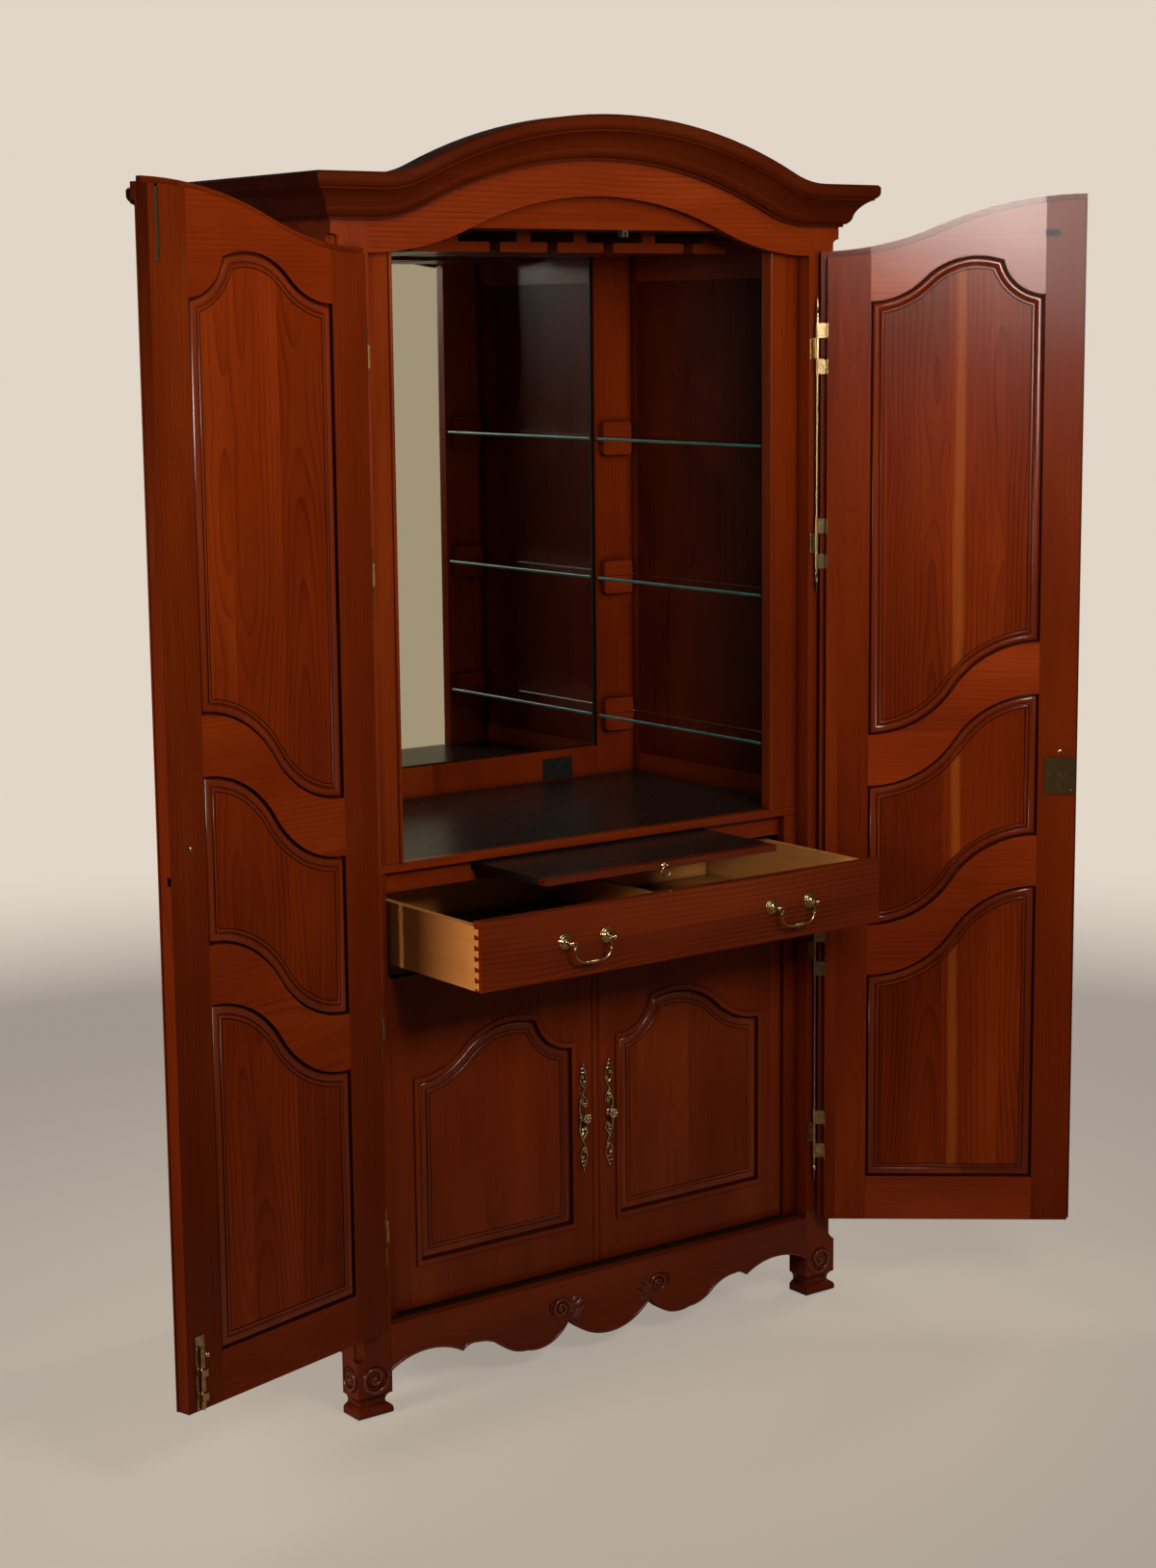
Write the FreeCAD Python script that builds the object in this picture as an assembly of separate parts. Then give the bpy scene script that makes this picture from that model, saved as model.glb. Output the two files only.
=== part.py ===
import FreeCAD, Part
import math
import os

# Armoire bar cabinet, in millimetres. X runs right, Y runs back and Z runs up.
# Pieces are built with the doors shut, the drawer and shelf in, and the front posts' faces at Y = 0.
# The doors, drawer and shelf are then moved to where they stand open, and the origin goes under the middle.

# Case
OPENING_W = 960.0
POST_W = 71.0
POST_D = 50.0
CASE_D = 600.0
REAR_POST_D = 40.0
WALL_SET = 28.0
SIDE_T = 28.0
SIDE_RAIL_H = 100.0
SIDE_RAIL_LOW = 60.0
SIDE_PANEL_T = 20.0
FLOOR_Z = 160.0
FLOOR_T = 20.0
TOP_T = 20.0
BACK_T = 8.0

# Canted post corners, scroll feet and spiral carving
CANT_W = 21.0
CANT_STEP_W = 12.0
CANT_STEP = 2.0
CANT_OVER = 1.0
CANT_LOW_Z = 104.0
CANT_HEAD = 22.0
FOOT_NECK_Z = 20.0
FOOT_TOP_Z = 38.0
FOOT_TOE_Z = 9.0
FOOT_NECK_IN = 9.0
FOOT_TOE_OUT = 3.0
FOOT_ROUND = 3.7
FOOT_HOLLOW = 1.1
FOOT_TOE_ROUND = 2.3
FOOT_VOLUTE_Z = 68.0
FOOT_VOLUTE_R = 23.0
VOLUTE_STEP = 7.0
VOLUTE_TURNS = 4
VOLUTE_GROOVE_W = 3.0
VOLUTE_DEPTH = 2.0

# Apron: half widths from the middle and heights above the floor
APRON_T = 22.0
APRON_LOBE_Z = 38.0
APRON_CUSP = (94.0, 82.0)
APRON_SIDE_LOBE = (188.0, 45.0)
APRON_SHOULDER = (299.0, 86.0)
APRON_NICK = (329.0, 77.0)
APRON_ARCH = (390.0, 97.0)
APRON_END_Z = 76.0
APRON_VOLUTE = (124.0, 112.0)
APRON_VOLUTE_R = 14.0

# Frieze, header and cornice
FRIEZE_END_Z = 2003.0
FRIEZE_RISE = 99.0
FRIEZE_SHARE = 0.43
FRIEZE_T = 16.0
HEADER_UP = 43.0
HEADER_T = 22.0
HEADER_H = 70.0
CORNICE_UP = 53.0
CORNICE_H = 75.0
CORNICE_OUT = 55.0
CORNICE_RISE = 107.0
CORNICE_FLAT = 5.0
POST_HIDDEN = 54.0
CORNICE_SHARE = 0.22
CORNICE_BEAD = (6.0, 5.0)
CORNICE_COVE_LOW = (9.0, 5.0)
CORNICE_COVE_MID = (19.0, 20.0)
CORNICE_COVE_TOP = (44.0, 47.0)
CORNICE_FILLET = 3.0
CORNICE_NOSE_H = 12.0
CORNICE_ROUND = 2.5
CORNICE_HOLLOW = 3.5
CORNICE_EDGE = 4.0

# Inner face frame, bar and back
FRAME_SET = 34.0
FRAME_T = 22.0
UPPER_STILE_W = 67.0
LOWER_STILE_W = 30.0
STILE_BEAD_R = 4.0
BAR_Z = 970.0
BAR_T = 16.0
LIPPING_D = 18.0
MIRROR_T = 6.0
MIRROR_GAP = 3.0
BACK_BOARD_W = 92.0
BACK_BOARD_T = 12.0
STRIP_H = 61.0
OUTLET = (72.0, 40.0)
OUTLET_X = 314.0
OUTLET_T = 4.0
OUTLET_DOWN = 6.0
SOCKET = (20.0, 26.0)
SOCKET_SET = 1.2
SOCKET_PIN_X = 5.0
SOCKET_PIN = (2.0, 8.0)
SOCKET_PIN_UP = 3.0
SOCKET_PIN_D = 8.0

# Glass shelves and their cleats
SHELF_UPS = (127.0, 408.0, 688.0)
SHELF_T = 6.0
SHELF_CLEAR = 0.3
SHELF_END_GAP = 1.0
CLEAT_W = 70.0
CLEAT_H = 66.0
CLEAT_D = 16.0
CLEAT_ROUND = 8.0
CLEAT_SEAT = 10.0

# Stemware rack under the top
RACK_SLOTS = (-310.0, -125.0, 0.0, 125.0, 310.0)
RACK_SLOT_W = 22.0
RACK_END_W = 80.0
RACK_D = 300.0
RACK_SET = 145.0
RACK_H = 36.0
RACK_FLANGE_T = 18.0
RACK_STEM_W = 30.0
RACK_ROUND = 5.0

# Rail with the serving shelf's slot, the drawer and the runners
RAIL_SET = 50.0
RAIL_T = 20.0
TRAY_RAIL_H = 37.0
DRAWER_RAIL_H = 22.0
OPENING_GAP = 3.0
RUN_GAP = 0.5
TRAY_W = 516.0
TRAY_T = 12.0
TRAY_D = 420.0
TRAY_LIP_D = 20.0
TRAY_PROUD = 4.0
TRAY_SIDE_GAP = 4.0
TRAY_OUT = 214.0
TRAY_LEDGE = 14.0
TRAY_GUIDE_T = 16.0
TRAY_LEDGE_T = 9.0
DRAWER_H = 119.0
DRAWER_SIDE_GAP = 7.0
DRAWER_FRONT_T = 20.0
DRAWER_SIDE_T = 13.0
DRAWER_SIDE_H = 110.0
DRAWER_REAR_DOWN = 6.0
DRAWER_D = 500.0
DRAWER_BOTTOM_T = 6.0
DRAWER_BOTTOM_UP = 10.0
DRAWER_DIVIDER_X = 60.0
DRAWER_DIVIDER_H = 60.0
DRAWER_DIVIDER_T = 9.0
DRAWER_OUT = 293.0
TAIL_COUNT = 6
TAIL_D = 12.0
TAIL_FLARE = 1.6
RUNNER_W = 26.0
RUNNER_H = 16.0
GUIDE_H = 18.0
GUIDE_GAP = 2.0

# Drawer bails and the serving shelf's ring
BAIL_X = 228.0
BAIL_SPACING = 89.0
BAIL_UP = 64.0
ROSETTE_R = 14.0
ROSETTE_SHARES = (1.0, 0.88, 0.8, 0.78, 0.66, 0.58, 0.5)
ROSETTE_HEIGHTS = (1.5, 2.2, 2.2, 3.6, 4.6, 4.6, 6.6)
ROSETTE_NECK = 8.0
BAIL_POST_R = 3.0
BAIL_STAND = 22.0
BAIL_BALL_R = 5.5
BAIL_R = 2.4
BAIL_PIN_R = 1.7
BAIL_PIN_CLEAR = 0.4
BAIL_DROP = 36.0
BAIL_BEND_R = 23.0
BAIL_ARM_IN = 4.5
BAIL_PIN_IN = 4.0
BAIL_BEAD_R = 4.4
RING_R = 9.5
RING_WIRE_R = 1.4
RING_CLEAR = 0.3
EYE_R = 4.0
EYE_WIRE_R = 1.3
RING_ROSE_T = 3.0

# Main doors
FACE_GAP = 0.5
LIP_T = 10.0
BODY_T = 14.0
LIP_W = 8.0
LIP_TOP = 8.0
DOOR_GAP = 3.0
DOOR_SILL = 4.0
LEFT_MEET_X = 1.0
RIGHT_MEET_X = 3.0
RIGHT_REBATE = 5.0
HINGE_STILE_W = 80.0
MEET_STILE_X = 78.0
BOTTOM_RAIL_H = 86.0
LOW_WAVE_Z = 649.0
MID_WAVE_Z = 1016.0
WAVE_SLOPE = 0.5455
WAVE_RAIL_H = 97.0
ARCH_DOWN = 83.0
ARCH_SLOPE = 0.254
ARCH_PEAK = 0.605
ARCH_CORNER = 0.762
ARCH_CORNER_DROP = 0.1
ARCH_END_UP = 0.125
TONGUE_W = 8.0
TONGUE_T = 8.0
BEVEL_GAP = 1.5
BEVEL_W = 19.0
BEVEL_EDGE = 1.8
FIELD_BAND_W = 5.0
FIELD_QUIRK = 1.5
FIELD_SET = 2.0
LEFT_OPEN = 164.8
RIGHT_OPEN = 141.0
ASTRAGAL_W = 24.0
ASTRAGAL_T = 8.0
ASTRAGAL_OVER = 2.0
ASTRAGAL_CAP_H = 26.0

# Long rod hinges of the main doors
HINGE_OUT = 14.0
HINGE_FRONT = 7.0
HINGE_FOOT_UP = 71.0
HINGE_HEAD_DOWN = 73.0
HINGE_L = 552.0
FINIAL_L = 49.0
FINIAL_NECK_R = 2.2
FINIAL_DOWNS = (30.0, 24.0, 18.0, 14.0, 11.0, 8.0, 7.0)
BARREL_R = 4.5
ROD_R = 3.0
ROD_CLEAR = 0.1
DOOR_KNUCKLE_H = 27.0
POST_KNUCKLE_H = 39.0
KNUCKLE_GAP = 0.4
LEAF_T = 1.6
WEB_T = 6.0

# Bolts, lock, catch and pulls
BOLT_UP_X = 18.0
TOP_BOLT_L = 112.0
TOP_BOLT_W = 6.4
TOP_BOLT_T = 6.0
BOLT_CLEAR = 0.6
BOLT_PLATE = (20.0, 123.0)
BOLT_PLATE_T = 2.0
BOLT_PLATE_X = 28.0
BOLT_ROD_R = 3.2
BOLT_ROD_CLEAR = 0.4
STAPLE_W = 14.0
STAPLE_H = 12.0
STAPLE_T = 3.0
STAPLE_ZS = (16.0, 56.0)
BOLT_SILL = 3.0
BOLT_KNOB_UP = 96.0
BOLT_KNOB_R = 4.5
BOLT_HEAD = 8.0
BOLT_STEM_R = 2.2
BOLT_STEM_L = 13.0
LOCK_PLATE = (58.0, 70.0)
LOCK_PLATE_T = 2.0
LOCK_UP = 871.0
LOCK_BOLT = (40.0, 6.0, 12.0)
LOCK_BOLT_CLEAR = 0.6
LOCK_BOLT_SET = 1.0
LOCK_THROW = 14.0
LOCK_KEEP_CLEAR = 1.0
LOCK_SCREW_R = 2.6
LOCK_SCREW_IN = 7.0
LOCK_PIN_R = 3.0
LOCK_PIN_L = 4.0
PULL_UP = 917.0
PULL_X = 20.0
CATCH_X = 66.0
CATCH = (12.0, 14.0, 12.0)
CATCH_SLOT = 4.0
STRIKE = (26.0, 12.0)
STRIKE_T = 1.6
STRIKE_NIB_R = 1.4
STRIKE_NIB_L = 8.0

# Lower doors and their scroll handles
LOWER_SET = 40.0
LOWER_T = 20.0
LOWER_GAP = 3.0
LOWER_HINGE_STILE_W = 58.0
LOWER_MEET_STILE_X = 55.0
LOWER_BOTTOM_RAIL_H = 84.0
LOWER_TOP_RAIL_H = 114.0
LOWER_ARCH_SLOPE = 0.2425
LOWER_STRIP_W = 13.0
LOWER_GROOVE_W = 1.5
LOWER_GROOVE_D = 4.0
LOWER_BEAD_W = 9.0
LOWER_BEAD_T = 3.0
PIVOT_IN = 4.0
PIVOT_R = 3.0
PIVOT_CLEAR = 0.1
PIVOT_L = 15.0
HANDLE_X = 30.0
HANDLE_UP = 283.0
HANDLE_HALF_H = 102.0
HANDLE_W = 6.4
HANDLE_T = 4.0
HANDLE_BOW = 7.0
LEAF_R = 6.5
LEAF_OUT = 5.5
KNOB_R = 10.0
KNOB_OUT = 20.0
PETAL_T = 5.0
DOME_H = 3.0
PETALS = 8

# Places worked out from the sizes above
HALF = OPENING_W / 2
POST_X = HALF + POST_W
TOP_Z = FRIEZE_END_Z + HEADER_UP
CORNICE_Z = FRIEZE_END_Z + CORNICE_UP
CORNICE_SPAN = HALF - CORNICE_FLAT
POST_TOP_Z = CORNICE_Z + POST_HIDDEN
DOOR_LOW_Z = FLOOR_Z + DOOR_SILL
HINGE_LOW_ZS = (DOOR_LOW_Z + HINGE_FOOT_UP, FRIEZE_END_Z - HINGE_HEAD_DOWN - HINGE_L)
LOCK_Z = DOOR_LOW_Z + LOCK_UP
PULL_Z = DOOR_LOW_Z + PULL_UP
SHELF_TOPS = [BAR_Z + up for up in SHELF_UPS]
WALL_X = HALF + WALL_SET
BACK_Y = CASE_D - BACK_T
BOARD_Y = BACK_Y - BACK_BOARD_T
FRAME_BACK_Y = FRAME_SET + FRAME_T
BAR_LOW_Z = BAR_Z - BAR_T
TRAY_Z = BAR_LOW_Z - OPENING_GAP
TRAY_LOW_Z = TRAY_Z - TRAY_T
TRAY_RAIL_LOW_Z = BAR_LOW_Z - TRAY_RAIL_H
DRAWER_TOP_Z = TRAY_RAIL_LOW_Z - OPENING_GAP
DRAWER_Z = DRAWER_TOP_Z - DRAWER_H
DRAWER_RAIL_Z = DRAWER_Z - OPENING_GAP
DRAWER_RAIL_LOW_Z = DRAWER_RAIL_Z - DRAWER_RAIL_H
STILE_X = HALF - LOWER_STILE_W
DRAWER_X = STILE_X - DRAWER_SIDE_GAP
LIP_Y = -FACE_GAP - LIP_T
INNER_Y = BODY_T - FACE_GAP
AXIS_X = HALF + HINGE_OUT
AXIS_Y = -HINGE_FRONT
BODY_X = HALF - DOOR_GAP
KNUCKLE_SET_H = 2 * DOOR_KNUCKLE_H + POST_KNUCKLE_H
LOWER_X = STILE_X - LOWER_GAP
LOWER_Z = FLOOR_Z + LOWER_GAP
LOWER_TOP_Z = DRAWER_RAIL_LOW_Z - LOWER_GAP
PIVOT_X = LOWER_X - PIVOT_IN
PIVOT_Y = LOWER_SET + PIVOT_IN
UP = FreeCAD.Vector(0, 0, 1)
SAME = 0.1  # lengths and places closer than this count as the same


def vec(x, y, z):
    return FreeCAD.Vector(x, y, z)


def box(x0, x1, y0, y1, z0, z1):
    return Part.makeBox(x1 - x0, y1 - y0, z1 - z0, vec(x0, y0, z0))


def mirrored(shape):
    return shape.mirror(vec(0, 0, 0), vec(1, 0, 0))


def both_sides(shape):
    return Part.makeCompound([shape, mirrored(shape)])


def solids(shapes):
    return Part.makeCompound([solid for shape in shapes for solid in shape.Solids])


# A point of an outline is a pair: across X and up Z.
def line(a, b):
    return Part.LineSegment(vec(a[0], 0, a[1]), vec(b[0], 0, b[1])).toShape()


def arc(a, m, b):
    return Part.Arc(vec(a[0], 0, a[1]), vec(m[0], 0, m[1]), vec(b[0], 0, b[1])).toShape()


def chain(points):
    return [line(a, b) for a, b in zip(points, points[1:])]


# An arc that is level at its first point.
def level_arc(a, b):
    run = b[0] - a[0]
    rise = b[1] - a[1]
    radius = (run ** 2 + rise ** 2) / (2 * abs(rise))
    half_turn = math.asin(abs(run) / radius) / 2
    along = math.copysign(radius * math.sin(half_turn), run)
    away = math.copysign(radius * (1 - math.cos(half_turn)), rise)
    return arc(a, (a[0] + along, a[1] + away), b)


# An arc whose middle stands off its chord, to the left of the way from the first point.
def bowed(a, b, bow):
    run = b[0] - a[0]
    rise = b[1] - a[1]
    share = bow / math.hypot(run, rise)
    middle = ((a[0] + b[0]) / 2 - share * rise, (a[1] + b[1]) / 2 + share * run)
    return arc(a, middle, b)


# Two arcs that are level at both ends and meet a share of the way along.
def cyma(a, b, share):
    middle = (a[0] + share * (b[0] - a[0]), a[1] + share * (b[1] - a[1]))
    return [level_arc(a, middle), level_arc(b, middle)]


def flat_face(edges, y):
    face = Part.Face(Part.Wire(edges))
    face.translate(vec(0, y, 0))
    return face


def plate(edges, y0, y1):
    return flat_face(edges, y0).extrude(vec(0, y1 - y0, 0))


def spread(edges, by):
    wire = Part.Wire(edges)
    if by == 0:
        return wire
    return wire.makeOffset2D(by, 2)


def slab(wire, y0, y1):
    face = Part.Face(wire)
    face.translate(vec(0, y0, 0))
    return face.extrude(vec(0, y1 - y0, 0))


def moved_wire(wire, y):
    copy = wire.copy()
    copy.translate(vec(0, y, 0))
    return copy


# Arch over the door opening: level at the posts and at the middle, left to right.
def arch(half, end_z, rise, share):
    rising = cyma((-half, end_z), (0, end_z + rise), share)
    falling = cyma((0, end_z + rise), (half, end_z), 1 - share)
    return rising + falling


def turned(profile, place, axis):
    points = [vec(r, 0, h) for r, h in profile]
    shape = Part.Face(Part.makePolygon(points + points[:1])).revolve(vec(0, 0, 0), UP, 360)
    shape.Placement = FreeCAD.Placement(place, FreeCAD.Rotation(UP, axis))
    return shape


def swept(path, radius):
    wire = Part.Wire(path)
    start = path[0].valueAt(path[0].FirstParameter)
    along = path[0].tangentAt(path[0].FirstParameter)
    ring = Part.Wire(Part.makeCircle(radius, start, along))
    return wire.makePipeShell([ring], True, True)


# Half circles that shrink by one step each, as a scroll in the plane of the outlines.
def volute_path(x, z, radius):
    path = []
    near = x + radius
    for turn in range(VOLUTE_TURNS):
        r = radius - turn * VOLUTE_STEP / 2
        way = -1 if turn % 2 == 0 else 1
        far = near + 2 * way * r
        path.append(arc((near, z), ((near + far) / 2, z - way * r), (far, z)))
        near = far
    return path, near


# A flat bottomed groove along the scroll, cut into a face that looks to the front at Y = 0.
def volute_groove(x, z, radius):
    half = VOLUTE_GROOVE_W / 2
    outer, outer_end = volute_path(x, z, radius + half)
    inner, inner_end = volute_path(x, z, radius - half)
    start = line((x + radius + half, z), (x + radius - half, z))
    end = line((outer_end, z), (inner_end, z))
    return plate(Part.__sortEdges__(outer + inner + [start, end]), 0, VOLUTE_DEPTH)


# Outline of a foot seen square on: straight, drawn in at the neck, then out to the toe.
def foot_outline(near, far, top_z):
    neck = FOOT_NECK_IN
    toe = FOOT_TOE_OUT
    inner = [
        line((near, top_z), (near, FOOT_TOP_Z)),
        bowed((near, FOOT_TOP_Z), (near + neck, FOOT_NECK_Z), FOOT_ROUND),
        bowed((near + neck, FOOT_NECK_Z), (near - toe, FOOT_TOE_Z), -FOOT_HOLLOW),
        bowed((near - toe, FOOT_TOE_Z), (near + toe, 0), -FOOT_TOE_ROUND),
    ]
    return inner + chain([(near + toe, 0), (far, 0), (far, top_z), (near, top_z)])


def turned_to_side(shape):
    return shape.rotated(vec(0, 0, 0), UP, 90)


# The left post stands at minus X. Its cant is a stepped flat with round ends across the outer front corner.
def cant_cutter(width, depth):
    r = width / 2 + CANT_OVER
    low = CANT_LOW_Z + r
    high = CORNICE_Z - CANT_HEAD - r
    edges = [
        line((r, low), (r, high)),
        arc((r, high), (0, high + r), (-r, high)),
        line((-r, high), (-r, low)),
        arc((-r, low), (0, low - r), (r, low)),
    ]
    cutter = plate(edges, -CANT_W, CANT_W / 2 + depth)
    cutter.rotate(vec(0, 0, 0), UP, -45)
    cutter.translate(vec(-POST_X, 0, 0))
    return cutter


def front_post():
    seen_front = plate(foot_outline(-HALF, -HALF + POST_W, POST_TOP_Z), -2 * FOOT_TOE_OUT, POST_D)
    seen_front = mirrored(seen_front)
    seen_front.translate(vec(-2 * HALF, 0, 0))
    outer_front = seen_front.mirror(vec(-HALF - POST_W / 2, 0, 0), vec(1, 0, 0))
    side = turned_to_side(plate(foot_outline(0, POST_D, POST_TOP_Z), -POST_X, POST_X))
    post = seen_front.common(outer_front).common(side)
    post = post.cut(volute_groove(-HALF - POST_W / 2, FOOT_VOLUTE_Z, FOOT_VOLUTE_R))
    side_scroll = turned_to_side(volute_groove(POST_D / 2, FOOT_VOLUTE_Z, FOOT_VOLUTE_R))
    side_scroll.translate(vec(VOLUTE_DEPTH - POST_X, 0, 0))
    post = post.cut(side_scroll)
    post = post.cut(cant_cutter(CANT_W, 0)).cut(cant_cutter(CANT_STEP_W, CANT_STEP))
    for low in HINGE_LOW_ZS:
        for base in knuckle_bases(low):
            post = post.cut(post_leaf_plate(base))
    return post


def rear_posts():
    return both_sides(box(WALL_X, POST_X, CASE_D - REAR_POST_D, CASE_D, 0, POST_TOP_Z))


def side_rail_lows():
    return (FLOOR_Z - SIDE_RAIL_LOW, BAR_Z - SIDE_RAIL_LOW, TOP_Z + TOP_T - SIDE_RAIL_H)


def side_rails():
    front = POST_D
    back = CASE_D - REAR_POST_D
    rails = [box(WALL_X, WALL_X + SIDE_T, front, back, low, low + SIDE_RAIL_H) for low in side_rail_lows()]
    return solids(rails + [mirrored(rail) for rail in rails])


def side_panels():
    front = POST_D
    back = CASE_D - REAR_POST_D
    panels = []
    for below, high in zip(side_rail_lows(), side_rail_lows()[1:]):
        low = below + SIDE_RAIL_H
        corners = [(front, low), (back, low), (back, high), (front, high), (front, low)]
        edges = chain(corners)
        board = slab(spread(edges, 0), -WALL_X - SIDE_PANEL_T / 2, -WALL_X)
        rim = moved_wire(spread(edges, -BEVEL_GAP), -WALL_X - SIDE_PANEL_T / 2)
        field = moved_wire(spread(edges, -BEVEL_W), -WALL_X - SIDE_PANEL_T)
        raised = Part.makeLoft([rim, field], True, True)
        panels.append(turned_to_side(board.fuse(raised).removeSplitter()))
    return solids(panels + [mirrored(panel) for panel in panels])


# A board that fits between the posts in front and reaches the side walls behind them.
def stepped_board(front_y, low, high):
    front = box(-HALF, HALF, front_y, POST_D, low, high)
    rear = box(-WALL_X, WALL_X, POST_D, BACK_Y, low, high)
    return front.fuse(rear).removeSplitter()


def apron():
    cusp_x, cusp_z = APRON_CUSP
    lobe_x, lobe_z = APRON_SIDE_LOBE
    drop = (cusp_x + 0.32 * (lobe_x - cusp_x), cusp_z - 0.8 * (cusp_z - lobe_z))
    nick_x, nick_z = APRON_NICK
    shoulder_x, shoulder_z = APRON_SHOULDER
    right = [
        arc(APRON_CUSP, drop, APRON_SIDE_LOBE),
        *cyma(APRON_SIDE_LOBE, APRON_SHOULDER, 0.5),
        arc(APRON_SHOULDER, ((shoulder_x + nick_x) / 2 + 4, (shoulder_z + nick_z) / 2 + 3), APRON_NICK),
        arc(APRON_NICK, APRON_ARCH, (HALF, APRON_END_Z)),
    ]
    middle = arc((-cusp_x, cusp_z), (0, APRON_LOBE_Z), (cusp_x, cusp_z))
    left = [mirrored(edge) for edge in reversed(right)]
    rim = chain([(HALF, APRON_END_Z), (HALF, FLOOR_Z), (-HALF, FLOOR_Z), (-HALF, APRON_END_Z)])
    edges = Part.__sortEdges__(left + [middle] + right + rim)
    board = plate(edges, 0, APRON_T)
    scroll = volute_groove(-APRON_VOLUTE[0], APRON_VOLUTE[1], APRON_VOLUTE_R)
    return board.cut(scroll).cut(mirrored(scroll))


def floor_board():
    return stepped_board(APRON_T, FLOOR_Z - FLOOR_T, FLOOR_Z)


def frieze():
    low = arch(HALF, FRIEZE_END_Z, FRIEZE_RISE, FRIEZE_SHARE)
    cover_z = CORNICE_Z + CORNICE_H - CORNICE_NOSE_H
    high = arch(CORNICE_SPAN, cover_z, CORNICE_RISE, CORNICE_SHARE)
    ends = chain([(HALF, FRIEZE_END_Z), (HALF, cover_z), (CORNICE_SPAN, cover_z)])
    ends = ends + [mirrored(edge) for edge in ends]
    return plate(Part.__sortEdges__(low + high + ends), 0, FRIEZE_T)


def header():
    return box(-HALF, HALF, FRIEZE_T, FRIEZE_T + HEADER_T, TOP_Z, TOP_Z + HEADER_H)


# Cornice section: the first number is how far it stands out, the second its height above the lower edge.
def cornice_section():
    bead_out, bead_h = CORNICE_BEAD
    nose_z = CORNICE_H - CORNICE_NOSE_H
    foot = chain([(0, 0), (bead_out, 0), (bead_out, bead_h), CORNICE_COVE_LOW])
    round_low = bowed(CORNICE_COVE_LOW, CORNICE_COVE_MID, -CORNICE_ROUND)
    hollow = bowed(CORNICE_COVE_MID, CORNICE_COVE_TOP, CORNICE_HOLLOW)
    top_out, top_h = CORNICE_COVE_TOP
    under = (top_out + CORNICE_FILLET, top_h)
    over = (top_out + CORNICE_FILLET, top_h + CORNICE_FILLET)
    nose = chain([CORNICE_COVE_TOP, under, over]) + [bowed(over, (CORNICE_OUT, nose_z), -CORNICE_ROUND)]
    brim = CORNICE_H - CORNICE_EDGE
    crown = chain([(CORNICE_OUT, nose_z), (CORNICE_OUT, brim), (CORNICE_OUT - CORNICE_EDGE, CORNICE_H)])
    back = chain([(CORNICE_OUT - CORNICE_EDGE, CORNICE_H), (0, CORNICE_H), (0, 0)])
    return foot + [round_low, hollow] + nose + crown + back


# The wedge beyond the left mitre, where the front piece and the return meet.
def mitre_wedge():
    far = 2 * CORNICE_OUT
    low = CORNICE_Z - CORNICE_H
    corner = vec(-POST_X, 0, low)
    out = vec(-POST_X - far, -far, low)
    along = vec(-POST_X - far, CASE_D + far, low)
    back = vec(-POST_X, CASE_D + far, low)
    face = Part.Face(Part.makePolygon([corner, out, along, back, corner]))
    return face.extrude(vec(0, 0, 3 * CORNICE_H))


def cornice_front():
    half = POST_X + CORNICE_OUT
    path = [line((-half, CORNICE_Z), (-CORNICE_SPAN, CORNICE_Z))]
    path = path + arch(CORNICE_SPAN, CORNICE_Z, CORNICE_RISE, CORNICE_SHARE)
    path = path + [line((CORNICE_SPAN, CORNICE_Z), (half, CORNICE_Z))]
    section = Part.Wire(cornice_section())
    section.rotate(vec(0, 0, 0), UP, -90)
    section.translate(vec(-half, 0, CORNICE_Z))
    pipe = Part.BRepOffsetAPI.MakePipeShell(Part.Wire(path))
    pipe.setBiNormalMode(vec(0, 1, 0))
    pipe.add(section)
    pipe.build()
    pipe.makeSolid()
    moulding = pipe.shape()
    wedge = mitre_wedge()
    return moulding.cut(wedge).cut(mirrored(wedge))


def cornice_returns():
    edges = [mirrored(edge) for edge in cornice_section()]
    moulding = plate(Part.__sortEdges__(edges), -CORNICE_OUT, CASE_D)
    moulding.translate(vec(-POST_X, 0, CORNICE_Z))
    return both_sides(moulding.common(mitre_wedge()))


def upper_stiles():
    inner = HALF - UPPER_STILE_W
    board = box(inner, HALF, FRAME_SET, FRAME_BACK_Y, BAR_Z, TOP_Z)
    bead = Part.makeCylinder(STILE_BEAD_R, TOP_Z - BAR_Z, vec(inner + STILE_BEAD_R, FRAME_SET, BAR_Z))
    return both_sides(board.fuse(bead).removeSplitter())


def lower_stiles():
    return both_sides(box(STILE_X, HALF, FRAME_SET, FRAME_BACK_Y, FLOOR_Z, BAR_LOW_Z))


def bar_lipping():
    edge = box(-HALF, HALF, FRAME_SET, FRAME_SET + LIPPING_D, BAR_LOW_Z, BAR_Z)
    front = [e for e in edge.Edges if abs(e.CenterOfMass.y - FRAME_SET) < SAME and e.Length > HALF]
    return edge.makeFillet(2.0, front)


def bar_top():
    return box(-WALL_X, WALL_X, FRAME_SET + LIPPING_D, BACK_Y, BAR_LOW_Z, BAR_Z)


def mirror_glass():
    half = WALL_X - BACK_BOARD_W - MIRROR_GAP
    low = BAR_Z + STRIP_H + MIRROR_GAP
    return box(-half, half, BACK_Y - MIRROR_T, BACK_Y, low, TOP_Z - MIRROR_GAP)


def back_boards():
    inner = WALL_X - BACK_BOARD_W
    board = box(inner, WALL_X, BOARD_Y, BACK_Y, BAR_Z, TOP_Z)
    strip = box(-inner, inner, BOARD_Y, BACK_Y, BAR_Z, BAR_Z + STRIP_H)
    return Part.makeCompound([board, mirrored(board), strip.cut(outlet_body())])


def outlet_body():
    w, h = OUTLET
    z = BAR_Z + STRIP_H / 2 - OUTLET_DOWN
    return box(OUTLET_X - w / 2, OUTLET_X + w / 2, BOARD_Y - OUTLET_T / 2, BACK_Y, z - h / 2, z + h / 2)


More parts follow.
